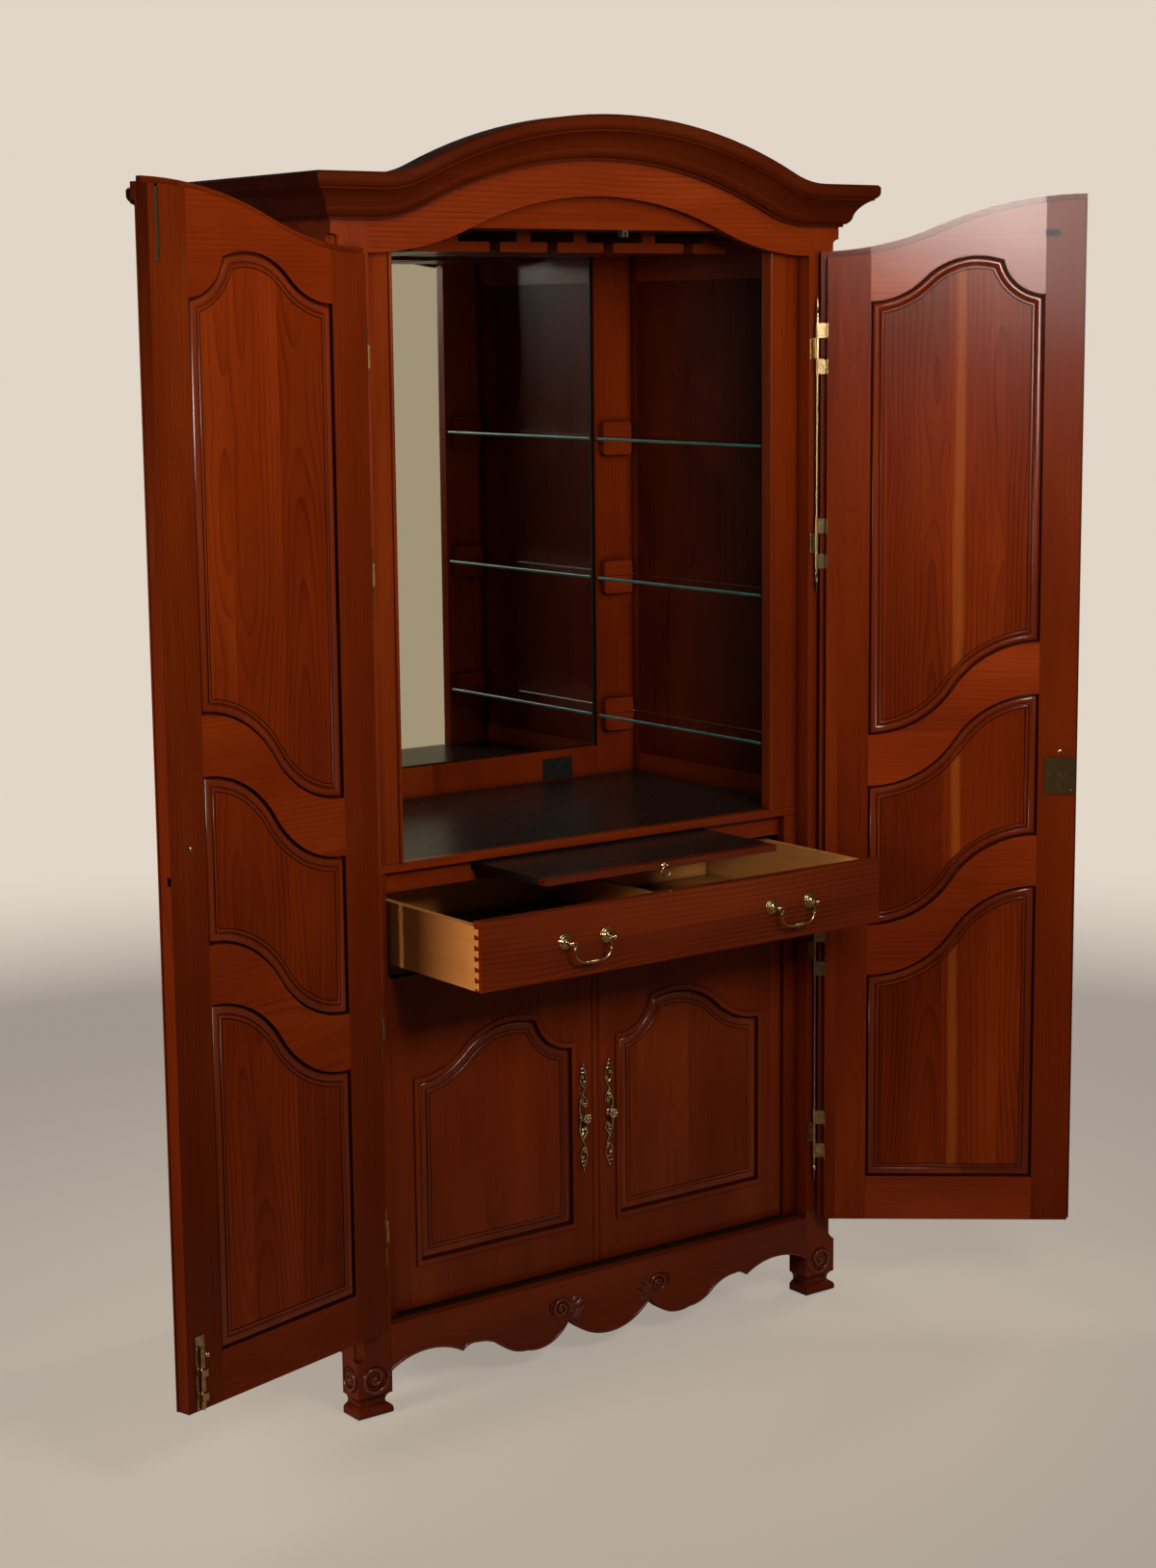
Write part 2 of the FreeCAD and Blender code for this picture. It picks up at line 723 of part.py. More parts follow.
def outlet():
    body = outlet_body()
    w, h = SOCKET
    pin_w, pin_h = SOCKET_PIN
    z = body.BoundBox.Center.z
    for side in (-1, 1):
        x = OUTLET_X + side * OUTLET[0] / 4
        face_y = BOARD_Y - OUTLET_T / 2
        body = body.cut(box(x - w / 2, x + w / 2, face_y, face_y + SOCKET_SET, z - h / 2, z + h / 2))
        for pin_x in (x - SOCKET_PIN_X, x + SOCKET_PIN_X):
            low = z + SOCKET_PIN_UP - pin_h / 2
            pin = box(pin_x - pin_w / 2, pin_x + pin_w / 2, face_y, face_y + SOCKET_PIN_D, low, low + pin_h)
            body = body.cut(pin)
    return body


def back_panel():
    return box(-WALL_X, WALL_X, BACK_Y, CASE_D, FLOOR_Z - SIDE_RAIL_LOW, TOP_Z + TOP_T)


# Four grooved cleats carry each pair of glass shelves: two on the back boards and two on the front stiles.
def shelf_cleats():
    cleats = []
    middle = WALL_X - BACK_BOARD_W / 2
    groove = SHELF_T + 2 * SHELF_CLEAR
    for top in SHELF_TOPS:
        low = top - SHELF_T / 2 - CLEAT_H / 2
        slot_z = top - SHELF_T - SHELF_CLEAR
        for wall_y, way in ((BOARD_Y, -1), (FRAME_BACK_Y, 1)):
            face_y = wall_y + way * CLEAT_D
            seat_y = face_y - way * (CLEAT_SEAT + SHELF_CLEAR)
            x0 = middle - CLEAT_W / 2
            x1 = middle + CLEAT_W / 2
            block = box(x0, x1, min(wall_y, face_y), max(wall_y, face_y), low, low + CLEAT_H)
            corners = [e for e in block.Edges if abs(e.Length - CLEAT_D) < SAME]
            block = block.makeFillet(CLEAT_ROUND, corners)
            slot = box(x0, x1, min(seat_y, face_y), max(seat_y, face_y), slot_z, slot_z + groove)
            cleats.append(block.cut(slot))
    return solids(cleats + [mirrored(cleat) for cleat in cleats])


def glass_shelves():
    front = FRAME_BACK_Y + CLEAT_D - CLEAT_SEAT
    back = BOARD_Y - CLEAT_D + CLEAT_SEAT
    inner = WALL_X - BACK_BOARD_W
    shelves = [box(inner, WALL_X - SHELF_END_GAP, front, back, top - SHELF_T, top) for top in SHELF_TOPS]
    return solids(shelves + [mirrored(shelf) for shelf in shelves])


# Rails of a T section: glass feet slide into the slots between their flanges.
def stemware_rack():
    gap = RACK_SLOT_W / 2
    starts = [RACK_SLOTS[0] - gap - RACK_END_W] + [slot + gap for slot in RACK_SLOTS]
    ends = [slot - gap for slot in RACK_SLOTS] + [RACK_SLOTS[-1] + gap + RACK_END_W]
    low = TOP_Z - RACK_H
    rails = []
    for x0, x1 in zip(starts, ends):
        flange = box(x0, x1, RACK_SET, RACK_SET + RACK_D, low, low + RACK_FLANGE_T)
        long_edges = [e for e in flange.Edges if abs(e.Length - RACK_D) < SAME]
        flange = flange.makeFillet(RACK_ROUND, long_edges)
        stem = RACK_STEM_W / 2
        middle = (x0 + x1) / 2
        neck = box(middle - stem, middle + stem, RACK_SET, RACK_SET + RACK_D, low + RACK_FLANGE_T, TOP_Z)
        rails.append(flange.fuse(neck).removeSplitter())
    return solids(rails)


def tray_rail():
    rail = box(-STILE_X, STILE_X, RAIL_SET, RAIL_SET + RAIL_T, TRAY_RAIL_LOW_Z, BAR_LOW_Z)
    half = TRAY_W / 2 + TRAY_SIDE_GAP
    return rail.cut(box(-half, half, RAIL_SET, RAIL_SET + RAIL_T, TRAY_LOW_Z - OPENING_GAP, BAR_LOW_Z))


def drawer_rail():
    return box(-STILE_X, STILE_X, RAIL_SET, RAIL_SET + RAIL_T, DRAWER_RAIL_LOW_Z, DRAWER_RAIL_Z)


# Guides under the bar for the serving shelf, and L shaped runners on the walls for the drawer.
def runners():
    front = RAIL_SET + RAIL_T
    edge = TRAY_W / 2
    ledge_z = TRAY_LOW_Z - RUN_GAP
    out = edge + RUN_GAP
    guide = box(out, out + TRAY_GUIDE_T, front, BACK_Y, ledge_z - TRAY_LEDGE_T, BAR_LOW_Z)
    ledge = box(edge - TRAY_LEDGE, out, front, BACK_Y, ledge_z - TRAY_LEDGE_T, ledge_z)
    tray_guide = guide.fuse(ledge).removeSplitter()
    run_z = DRAWER_Z - RUN_GAP
    side = DRAWER_X + GUIDE_GAP
    runner = box(side - RUNNER_W, WALL_X, front, BACK_Y, run_z - RUNNER_H, run_z)
    upright = box(side, WALL_X, front, BACK_Y, run_z, run_z + GUIDE_H)
    drawer_runner = runner.fuse(upright).removeSplitter()
    return solids([tray_guide, mirrored(tray_guide), drawer_runner, mirrored(drawer_runner)])


def knuckle_bases(low):
    return (low + FINIAL_L, low + HINGE_L - FINIAL_L - KNUCKLE_SET_H)


def post_leaf_plate(base):
    z0 = base + DOOR_KNUCKLE_H + KNUCKLE_GAP
    z1 = base + DOOR_KNUCKLE_H + POST_KNUCKLE_H - KNUCKLE_GAP
    return box(-AXIS_X - WEB_T / 2, -HALF, 0, LEAF_T, z0, z1)


def post_leaves():
    leaves = []
    for low in HINGE_LOW_ZS:
        for base in knuckle_bases(low):
            leaf = post_leaf_plate(base)
            z0 = leaf.BoundBox.ZMin
            z1 = leaf.BoundBox.ZMax
            web = box(-AXIS_X - WEB_T / 2, -AXIS_X + WEB_T / 2, AXIS_Y, 0, z0, z1)
            barrel = Part.makeCylinder(BARREL_R, z1 - z0, vec(-AXIS_X, AXIS_Y, z0))
            bore = Part.makeCylinder(ROD_R, z1 - z0, vec(-AXIS_X, AXIS_Y, z0))
            leaves.append(leaf.fuse([web, barrel]).removeSplitter().cut(bore))
    return solids(leaves + [mirrored(leaf) for leaf in leaves])


# One rod with a turned finial at each end, listed as radius and height from its tip.
def hinge_rods():
    ring = BARREL_R
    neck = FINIAL_NECK_R
    radii = (neck, ring, neck, neck, ring, ring, ROD_R)
    finial = [(0, 0)] + [(radius, FINIAL_L - down) for radius, down in zip(radii, FINIAL_DOWNS)]
    upper = [(radius, HINGE_L - height) for radius, height in reversed(finial)]
    rods = [turned(finial + upper, vec(-AXIS_X, AXIS_Y, low), UP) for low in HINGE_LOW_ZS]
    return solids(rods + [mirrored(rod) for rod in rods])


def door_leaves():
    leaves = []
    bore_r = ROD_R + ROD_CLEAR
    for low in HINGE_LOW_ZS:
        for base in knuckle_bases(low):
            for z0 in (base, base + DOOR_KNUCKLE_H + POST_KNUCKLE_H):
                z1 = z0 + DOOR_KNUCKLE_H
                barrel = Part.makeCylinder(BARREL_R, z1 - z0, vec(-AXIS_X, AXIS_Y, z0))
                bore = Part.makeCylinder(bore_r, z1 - z0, vec(-AXIS_X, AXIS_Y, z0))
                leaf = box(-HALF - LIP_W, -BODY_X, -FACE_GAP - LEAF_T, -FACE_GAP, z0, z1)
                cheek = box(-BODY_X, -BODY_X + LEAF_T, -FACE_GAP - LEAF_T, INNER_Y, z0, z1)
                web = box(-AXIS_X + 1, -HALF - LIP_W + 2, AXIS_Y + 2, -FACE_GAP, z0, z1)
                leaves.append(barrel.fuse([leaf, cheek, web]).removeSplitter().cut(bore))
    return solids(leaves)


# Top of a panel from the hinge side to the meeting side: a rising cyma, a soft crest, a corner and a hollow.
def panel_top(hinge_x, meet_x, z, rise):
    width = meet_x - hinge_x
    peak = (hinge_x + ARCH_PEAK * width, z + rise)
    corner = (hinge_x + ARCH_CORNER * width, z + (1 - ARCH_CORNER_DROP) * rise)
    end = (meet_x, z + ARCH_END_UP * rise)
    return cyma((hinge_x, z), peak, 0.5) + [level_arc(peak, corner), level_arc(end, corner)]


# Panel edges run up the hinge side, over the top, down the meeting side and back along the foot.
def panel_outline(hinge_x, meet_x, foot_edges, top_edges):
    return Part.__sortEdges__(foot_edges + top_edges + [
        line(edge_end(foot_edges, hinge_x), edge_end(top_edges, hinge_x)),
        line(edge_end(foot_edges, meet_x), edge_end(top_edges, meet_x)),
    ])


def edge_end(edges, x):
    for edge in edges:
        for vertex in edge.Vertexes:
            if abs(vertex.X - x) < 0.001:
                return (vertex.X, vertex.Z)
    return None


# A tongued board with a bevelled, raised field on both faces, and a quirk cut round the field.
def raised_panel(edges, face_y, back_y):
    middle = (face_y + back_y) / 2
    front = middle - TONGUE_T / 2
    rear = middle + TONGUE_T / 2
    board = slab(spread(edges, TONGUE_W), front, rear)
    parts = []
    quirks = []
    for near, far in ((front, face_y + FIELD_SET), (rear, back_y - FIELD_SET)):
        edge_y = far - math.copysign(BEVEL_EDGE, far - near)
        rim = moved_wire(spread(edges, -BEVEL_GAP), near)
        top = moved_wire(spread(edges, -BEVEL_W), edge_y)
        parts.append(Part.makeLoft([rim, top], True, True))
        field = moved_wire(spread(edges, -BEVEL_W - BEVEL_EDGE), far)
        parts.append(Part.makeLoft([top, field], True, True))
        quirk_y = far - math.copysign(FIELD_QUIRK, far - near)
        outer = slab(spread(edges, -BEVEL_W - FIELD_BAND_W), min(quirk_y, far), max(quirk_y, far))
        inner = slab(spread(edges, -BEVEL_W - FIELD_BAND_W - FIELD_QUIRK), min(quirk_y, far), max(quirk_y, far))
        quirks.append(outer.cut(inner))
    return board.fuse(parts).removeSplitter().cut(quirks)


def panel_groove(edges, face_y, back_y):
    middle = (face_y + back_y) / 2
    return slab(spread(edges, TONGUE_W), middle - TONGUE_T / 2, middle + TONGUE_T / 2)


# The doors close over the opening with a lip, and their thicker body goes in between the posts.
def door_blank(half, low, top, y0, y1):
    edges = arch(half, top, FRIEZE_RISE, FRIEZE_SHARE)
    edges = edges + chain([(half, top), (half, low), (-half, low), (-half, top)])
    return plate(edges, y0, y1)


def door_panel_outlines():
    hinge_x = -BODY_X + HINGE_STILE_W
    meet_x = -MEET_STILE_X
    width = meet_x - hinge_x
    rise = WAVE_SLOPE * width
    low_top = cyma((hinge_x, LOW_WAVE_Z), (meet_x, LOW_WAVE_Z + rise), 0.5)
    mid_foot_z = LOW_WAVE_Z + WAVE_RAIL_H
    mid_foot = cyma((hinge_x, mid_foot_z), (meet_x, mid_foot_z + rise), 0.5)
    mid_top = cyma((hinge_x, MID_WAVE_Z), (meet_x, MID_WAVE_Z + rise), 0.5)
    high_foot_z = MID_WAVE_Z + WAVE_RAIL_H
    high_foot = cyma((hinge_x, high_foot_z), (meet_x, high_foot_z + rise), 0.5)
    high_top = panel_top(hinge_x, meet_x, FRIEZE_END_Z - ARCH_DOWN, ARCH_SLOPE * width)
    low_z = DOOR_LOW_Z + BOTTOM_RAIL_H
    low_foot = [line((hinge_x, low_z), (meet_x, low_z))]
    return [
        panel_outline(hinge_x, meet_x, low_foot, low_top),
        panel_outline(hinge_x, meet_x, mid_foot, mid_top),
        panel_outline(hinge_x, meet_x, high_foot, high_top),
    ]


# Stiles, rails and panels of a door on the left, with its body and lip ending where given at the middle.
def door_wood(body_meet_x, lip_meet_x):
    tall = 2 * POST_TOP_Z
    body = door_blank(BODY_X, DOOR_LOW_Z, FRIEZE_END_Z - DOOR_GAP, LIP_Y, INNER_Y)
    body = body.common(box(-POST_X, -body_meet_x, LIP_Y, INNER_Y, 0, tall))
    lip = door_blank(HALF + LIP_W, DOOR_LOW_Z, FRIEZE_END_Z + LIP_TOP, LIP_Y, -FACE_GAP)
    lip = lip.common(box(-POST_X, -lip_meet_x, LIP_Y, INNER_Y, 0, tall))
    frame = body.fuse(lip).removeSplitter()
    panels = []
    for edges in door_panel_outlines():
        frame = frame.cut(plate(edges, LIP_Y, INNER_Y))
        frame = frame.cut(panel_groove(edges, LIP_Y, INNER_Y))
        panels.append(raised_panel(edges, LIP_Y, INNER_Y))
    hinge_x = -BODY_X + HINGE_STILE_W
    hinge_side = box(-POST_X, hinge_x, LIP_Y, INNER_Y, 0, tall)
    meet_side = box(-MEET_STILE_X, 0, LIP_Y, INNER_Y, 0, tall)
    between = box(hinge_x, -MEET_STILE_X, LIP_Y, INNER_Y, 0, tall)
    stiles = [frame.common(hinge_side).cut(door_leaves()), frame.common(meet_side)]
    return stiles, frame.common(between), solids(panels)


# A half round bead with a plain cap block at its head, on the left door's outer face.
def astragal():
    inner = -LEFT_MEET_X - ASTRAGAL_W + ASTRAGAL_OVER
    outer = -LEFT_MEET_X + ASTRAGAL_OVER
    top = FRIEZE_END_Z + FRIEZE_RISE
    flat = box(inner, outer, LIP_Y - ASTRAGAL_T / 3, LIP_Y, DOOR_LOW_Z, top)
    middle = (inner + outer) / 2
    reach = ASTRAGAL_T
    bead = Part.makeCylinder(reach, top - DOOR_LOW_Z, vec(middle, LIP_Y, DOOR_LOW_Z))
    bead = bead.common(box(inner, outer, LIP_Y - reach, LIP_Y, DOOR_LOW_Z, top))
    cap_low = top - ASTRAGAL_CAP_H
    cap = box(inner, outer, LIP_Y - ASTRAGAL_T - 3, LIP_Y, cap_low, top)
    return flat.fuse([bead, cap]).removeSplitter()


def top_bolt_top_z():
    return FRIEZE_END_Z + FRIEZE_RISE - DOOR_GAP


def top_bolt(clear):
    half = TOP_BOLT_W / 2 + clear
    top = top_bolt_top_z() - 4
    face = INNER_Y - 0.6
    back = face - TOP_BOLT_T - clear
    return box(-BOLT_UP_X - half, -BOLT_UP_X + half, back, face, top - TOP_BOLT_L - clear, top)


def top_bolt_groove():
    bar = top_bolt(BOLT_CLEAR).BoundBox
    return box(bar.XMin, bar.XMax, bar.YMin, INNER_Y, bar.ZMin, POST_TOP_Z)


def bolt_plate():
    w, h = BOLT_PLATE
    low = DOOR_LOW_Z + BOLT_SILL
    x = -BOLT_PLATE_X
    shape = box(x - w / 2, x + w / 2, INNER_Y, INNER_Y + BOLT_PLATE_T, low, low + h)
    rod_y = bolt_rod_y()
    for up in STAPLE_ZS:
        z = low + up
        reach = rod_y + BOLT_ROD_R + STAPLE_T
        staple = box(x - STAPLE_W / 2, x + STAPLE_W / 2, INNER_Y + BOLT_PLATE_T, reach, z, z + STAPLE_H)
        shape = shape.fuse(staple)
    bore = Part.makeCylinder(BOLT_ROD_R + BOLT_ROD_CLEAR, h, vec(x, rod_y, low))
    return shape.cut(bore).removeSplitter()


def bolt_rod_y():
    return INNER_Y + BOLT_PLATE_T + BOLT_ROD_R + 2 * BOLT_ROD_CLEAR


def bottom_bolt():
    low = DOOR_LOW_Z + BOLT_SILL
    x = -BOLT_PLATE_X
    y = bolt_rod_y()
    rod = Part.makeCylinder(BOLT_ROD_R, BOLT_KNOB_UP + BOLT_HEAD, vec(x, y, low))
    stem = Part.makeCylinder(BOLT_STEM_R, BOLT_STEM_L, vec(x, y, low + BOLT_KNOB_UP), vec(0, 1, 0))
    knob = Part.makeSphere(BOLT_KNOB_R, vec(x, y + BOLT_STEM_L, low + BOLT_KNOB_UP))
    return rod.fuse([stem, knob]).removeSplitter()


# A flat scroll that bows out beside its knob and back again above and below it, with leaf discs.
def scroll_pull(x, z, face_y):
    bow = HANDLE_BOW
    tip = HANDLE_HALF_H - HANDLE_W / 2
    bend = tip * 0.45
    upper = [arc((-bow, 0), (-0.8 * bow, 0.58 * bend), (0, bend)), arc((0, bend), (bow, 0.7 * tip), (0, tip))]
    lower = [edge.mirror(vec(0, 0, 0), UP) for edge in upper]
    path = Part.Wire(Part.__sortEdges__(upper + lower))
    scroll = slab(path.makeOffset2D(HANDLE_W / 2), -HANDLE_T, 0)
    front = vec(0, -1, 0)
    leaves = []
    for side in (-1, 1):
        for leaf_x, leaf_z in ((bow / 3, 0.55 * bend), (-bow / 3, 0.72 * tip)):
            leaves.append(Part.makeCone(LEAF_R, LEAF_R / 2, LEAF_OUT, vec(leaf_x, 0, side * leaf_z), front))
    foot = KNOB_R - 1
    neck = KNOB_R / 2
    crown = KNOB_OUT - DOME_H
    petal = crown - PETAL_T
    middle = vec(0, 0, 0)
    stem = [(0, 0), (foot, 0), (foot, HANDLE_T), (neck, HANDLE_T + 2), (neck, petal), (0, petal)]
    dome = [(0, crown), (0.6 * KNOB_R, crown), (0.4 * KNOB_R, KNOB_OUT - 0.6), (0, KNOB_OUT)]
    knob = [turned(stem, middle, front), flower(KNOB_R, petal, crown), turned(dome, middle, front)]
    pull = scroll.fuse(leaves + knob).removeSplitter()
    pull.translate(vec(x, face_y, z))
    return pull


def flower(radius, near, far):
    edges = []
    step = 2 * math.pi / PETALS
    for k in range(PETALS):
        ends = []
        for part, reach in ((0, 0.82), (0.5, 1.0), (1, 0.82)):
            turn = (k + part) * step
            ends.append((reach * radius * math.cos(turn), reach * radius * math.sin(turn)))
        edges.append(arc(*ends))
    return plate(edges, -far, -near)


def pull_bolt(x, z):
    head = [(0, 0), (4.5, 0), (4.5, 1.2), (3.0, 2.4), (0, 2.8)]
    return turned(head, vec(x, INNER_Y, z), vec(0, 1, 0))


# Right door hardware is drawn as if on the left and mirrored with its door.
def lock_plate():
    w, h = LOCK_PLATE
    right = -RIGHT_MEET_X - RIGHT_REBATE
    shape = box(right - w, right, INNER_Y, INNER_Y + LOCK_PLATE_T, LOCK_Z - h / 2, LOCK_Z + h / 2)
    up = h / 2 - LOCK_SCREW_IN
    for dx in (LOCK_SCREW_IN, w - LOCK_SCREW_IN):
        for dz in (-up, up):
            shape = shape.fuse(screw_head(right - dx, INNER_Y + LOCK_PLATE_T, LOCK_Z + dz))
    pin_at = vec(right - w / 2, INNER_Y + LOCK_PLATE_T, LOCK_Z)
    pin = Part.makeCylinder(LOCK_PIN_R, LOCK_PIN_L, pin_at, vec(0, 1, 0))
    return shape.fuse(pin).removeSplitter()


def screw_head(x, y, z):
    head = [(0, 0), (LOCK_SCREW_R, 0), (LOCK_SCREW_R * 0.7, 0.9), (0, 1.1)]
    return turned(head, vec(x, y, z), vec(0, 1, 0))


def lock_bolt(clear):
    length, thick, tall = LOCK_BOLT
    right = -RIGHT_MEET_X - RIGHT_REBATE
    y1 = INNER_Y - LOCK_BOLT_SET + clear
    half = tall / 2 + clear
    return box(right - length - clear, right, y1 - thick - 2 * clear, y1, LOCK_Z - half, LOCK_Z + half)


def lock_pocket():
    room = lock_bolt(LOCK_BOLT_CLEAR).BoundBox
    return box(room.XMin, room.XMax, room.YMin, room.YMax, room.ZMin, room.ZMax)


def strike_pocket():
    thick, tall = LOCK_BOLT[1:]
    y1 = INNER_Y - LOCK_BOLT_SET + LOCK_BOLT_CLEAR
    y0 = y1 - thick - 2 * LOCK_BOLT_CLEAR
    half = tall / 2 + LOCK_KEEP_CLEAR
    return box(-LEFT_MEET_X - LOCK_THROW, -LEFT_MEET_X, y0, y1, LOCK_Z - half, LOCK_Z + half)


def catch_strike():
    w, h = STRIKE
    z = TOP_Z - CATCH[2] / 2
    base = box(-CATCH_X - w / 2, -CATCH_X + w / 2, INNER_Y, INNER_Y + STRIKE_T, z - h / 2, z + h / 2)
    nib = Part.makeCylinder(STRIKE_NIB_R, STRIKE_NIB_L, vec(-CATCH_X, INNER_Y, z), vec(0, 1, 0))
    return base.fuse(nib).removeSplitter()


def door_catch():
    w, d, h = CATCH
    body = box(CATCH_X - w / 2, CATCH_X + w / 2, FRIEZE_T + 1, FRIEZE_T + 1 + d, TOP_Z - h, TOP_Z)
    half = CATCH_SLOT / 2
    slot = box(CATCH_X - half, CATCH_X + half, FRIEZE_T, FRIEZE_T + d, TOP_Z - h, TOP_Z - h / 4)
    return body.cut(slot)


# Lower doors hang on pins set into the floor and the rail over them.
def lower_pivots():
    bottom = Part.makeCylinder(PIVOT_R, LOWER_GAP + PIVOT_L, vec(PIVOT_X, PIVOT_Y, FLOOR_Z))
    top = Part.makeCylinder(PIVOT_R, LOWER_GAP + PIVOT_L, vec(PIVOT_X, PIVOT_Y, LOWER_TOP_Z - PIVOT_L))
    return solids([bottom, top, mirrored(bottom), mirrored(top)])


def pivot_holes():
    r = PIVOT_R + PIVOT_CLEAR
    depth = PIVOT_L + 1
    low = Part.makeCylinder(r, depth, vec(-PIVOT_X, PIVOT_Y, LOWER_Z))
    high = Part.makeCylinder(r, depth, vec(-PIVOT_X, PIVOT_Y, LOWER_TOP_Z - depth))
    return low.fuse(high)


# The door on the right carries a narrow strip past the middle, set off by a groove.
def lower_door(meet_x):
    back = LOWER_SET + LOWER_T
    blank = box(-LOWER_X, meet_x, LOWER_SET, back, LOWER_Z, LOWER_TOP_Z)
    if meet_x > 0:
        groove_x = meet_x - LOWER_STRIP_W
        groove_y = LOWER_SET + LOWER_GROOVE_D
        blank = blank.cut(box(groove_x - LOWER_GROOVE_W, groove_x, LOWER_SET, groove_y, LOWER_Z, LOWER_TOP_Z))
    hinge_x = -LOWER_X + LOWER_HINGE_STILE_W
    inner_x = -LOWER_MEET_STILE_X
    foot_z = LOWER_Z + LOWER_BOTTOM_RAIL_H
    rise = LOWER_ARCH_SLOPE * (inner_x - hinge_x)
    top = panel_top(hinge_x, inner_x, LOWER_TOP_Z - LOWER_TOP_RAIL_H - rise, rise)
    edges = panel_outline(hinge_x, inner_x, [line((hinge_x, foot_z), (inner_x, foot_z))], top)
    frame = blank.cut(plate(edges, LOWER_SET, back)).cut(panel_groove(edges, LOWER_SET, back))
    frame = frame.cut(pivot_holes())
    hinge_stile = frame.common(box(-LOWER_X, hinge_x, LOWER_SET, back, LOWER_Z, LOWER_TOP_Z))
    meet_stile = frame.common(box(inner_x, meet_x, LOWER_SET, back, LOWER_Z, LOWER_TOP_Z))
    rails = frame.common(box(hinge_x, inner_x, LOWER_SET, back, LOWER_Z, LOWER_TOP_Z))
    bead = slab(spread(edges, LOWER_BEAD_W), LOWER_SET - LOWER_BEAD_T, LOWER_SET)
    bead = bead.cut(plate(edges, LOWER_SET - LOWER_BEAD_T, LOWER_SET))
    return solids([hinge_stile, meet_stile, rails, bead]), raised_panel(edges, LOWER_SET, back)


# The drawer's sides run into its front with dovetail tails.
def tails(side_x0, side_x1, front_y):
    shapes = []
    pitch = DRAWER_SIDE_H / TAIL_COUNT
    root_y = front_y + DRAWER_FRONT_T
    for k in range(TAIL_COUNT):
        middle = DRAWER_Z + (k + 0.5) * pitch
        wide = pitch / 3
        root = wide - TAIL_FLARE
        corners = [
            vec(side_x0, root_y, middle - root), vec(side_x0, root_y - TAIL_D, middle - wide),
            vec(side_x0, root_y - TAIL_D, middle + wide), vec(side_x0, root_y, middle + root),
        ]
        face = Part.Face(Part.makePolygon(corners + corners[:1]))
        shapes.append(face.extrude(vec(side_x1 - side_x0, 0, 0)))
    return shapes


def drawer_wood():
    y0 = RAIL_SET
    y1 = y0 + DRAWER_FRONT_T
    back = y0 + DRAWER_D
    inner = DRAWER_X - DRAWER_SIDE_T
    front = box(-DRAWER_X, DRAWER_X, y0, y1, DRAWER_Z, DRAWER_TOP_Z)
    side = box(inner, DRAWER_X, y1, back, DRAWER_Z, DRAWER_Z + DRAWER_SIDE_H)
    joint = tails(inner, DRAWER_X, y0)
    side = side.fuse(joint).removeSplitter()
    for tail in joint:
        front = front.cut(tail).cut(mirrored(tail))
    floor_z = DRAWER_Z + DRAWER_BOTTOM_UP
    rear_y = back - DRAWER_SIDE_T
    floor = box(-inner, inner, y1, rear_y, floor_z, floor_z + DRAWER_BOTTOM_T)
    rear = box(-inner, inner, rear_y, back, DRAWER_Z, DRAWER_Z + DRAWER_SIDE_H - DRAWER_REAR_DOWN)
    half = DRAWER_DIVIDER_T / 2
    top = floor_z + DRAWER_BOTTOM_T
    divider = box(DRAWER_DIVIDER_X - half, DRAWER_DIVIDER_X + half, y1, rear_y, top, top + DRAWER_DIVIDER_H)
    return front, solids([side, mirrored(side), rear, divider]), floor


def bail_height():
    return DRAWER_Z + BAIL_UP


# Rosettes carry a short post whose ball takes the end of the swinging bail.
def bail_posts():
    y = RAIL_SET
    out = BAIL_STAND
    r = ROSETTE_R
    rose = [(share * r, height) for share, height in zip(ROSETTE_SHARES, ROSETTE_HEIGHTS)]
    end = out - BAIL_POST_R
    profile = [(0, 0), (r, 0)] + rose + [(BAIL_POST_R, ROSETTE_NECK), (BAIL_POST_R, end), (0, end)]
    posts = []
    for middle in (-BAIL_X, BAIL_X):
        for side in (-1, 1):
            x = middle + side * BAIL_SPACING / 2
            post = turned(profile, vec(x, y, bail_height()), vec(0, -1, 0))
            ball = Part.makeSphere(BAIL_BALL_R, vec(x, y - out, bail_height()))
            start = vec(x - BAIL_BALL_R, y - out, bail_height())
            hole = Part.makeCylinder(BAIL_PIN_R + BAIL_PIN_CLEAR, 2 * BAIL_BALL_R, start, vec(1, 0, 0))
            posts.append(post.fuse(ball).cut(hole))
    return solids(posts)


# A drooping bail between two posts: bowed arms, a level grip and a turned bead in its middle.
def bail(middle):
    half = BAIL_SPACING / 2
    pin_in = half - BAIL_BALL_R + BAIL_PIN_IN
    arm = half - BAIL_BALL_R - BAIL_ARM_IN
    low = -BAIL_DROP
    bend = BAIL_BEND_R
    bend_x = arm - math.sqrt(bend ** 2 - (low + bend) ** 2)
    path = [
        arc((-arm, 0), (-bend_x - bend, low + bend), (-bend_x, low)),
        line((-bend_x, low), (bend_x, low)),
        arc((bend_x, low), (bend_x + bend, low + bend), (arm, 0)),
    ]
    grip = swept(path, BAIL_R)
    bead = [(0, -6), (BAIL_R + 0.4, -6), (BAIL_BEAD_R, -2), (BAIL_BEAD_R, 2), (BAIL_R + 0.4, 6), (0, 6)]
    parts = [turned(bead, vec(0, 0, low), vec(1, 0, 0))]
    for side in (-1, 1):
        parts.append(Part.makeSphere(BAIL_R, vec(side * arm, 0, 0)))
        reach = pin_in - arm
        start = side * arm
        parts.append(Part.makeCylinder(BAIL_PIN_R, reach, vec(start, 0, 0), vec(side, 0, 0)))
    shape = grip.fuse(parts).removeSplitter()
    shape.translate(vec(middle, RAIL_SET - BAIL_STAND, bail_height()))
    return shape


def tray_front_y():
    return RAIL_SET - TRAY_PROUD


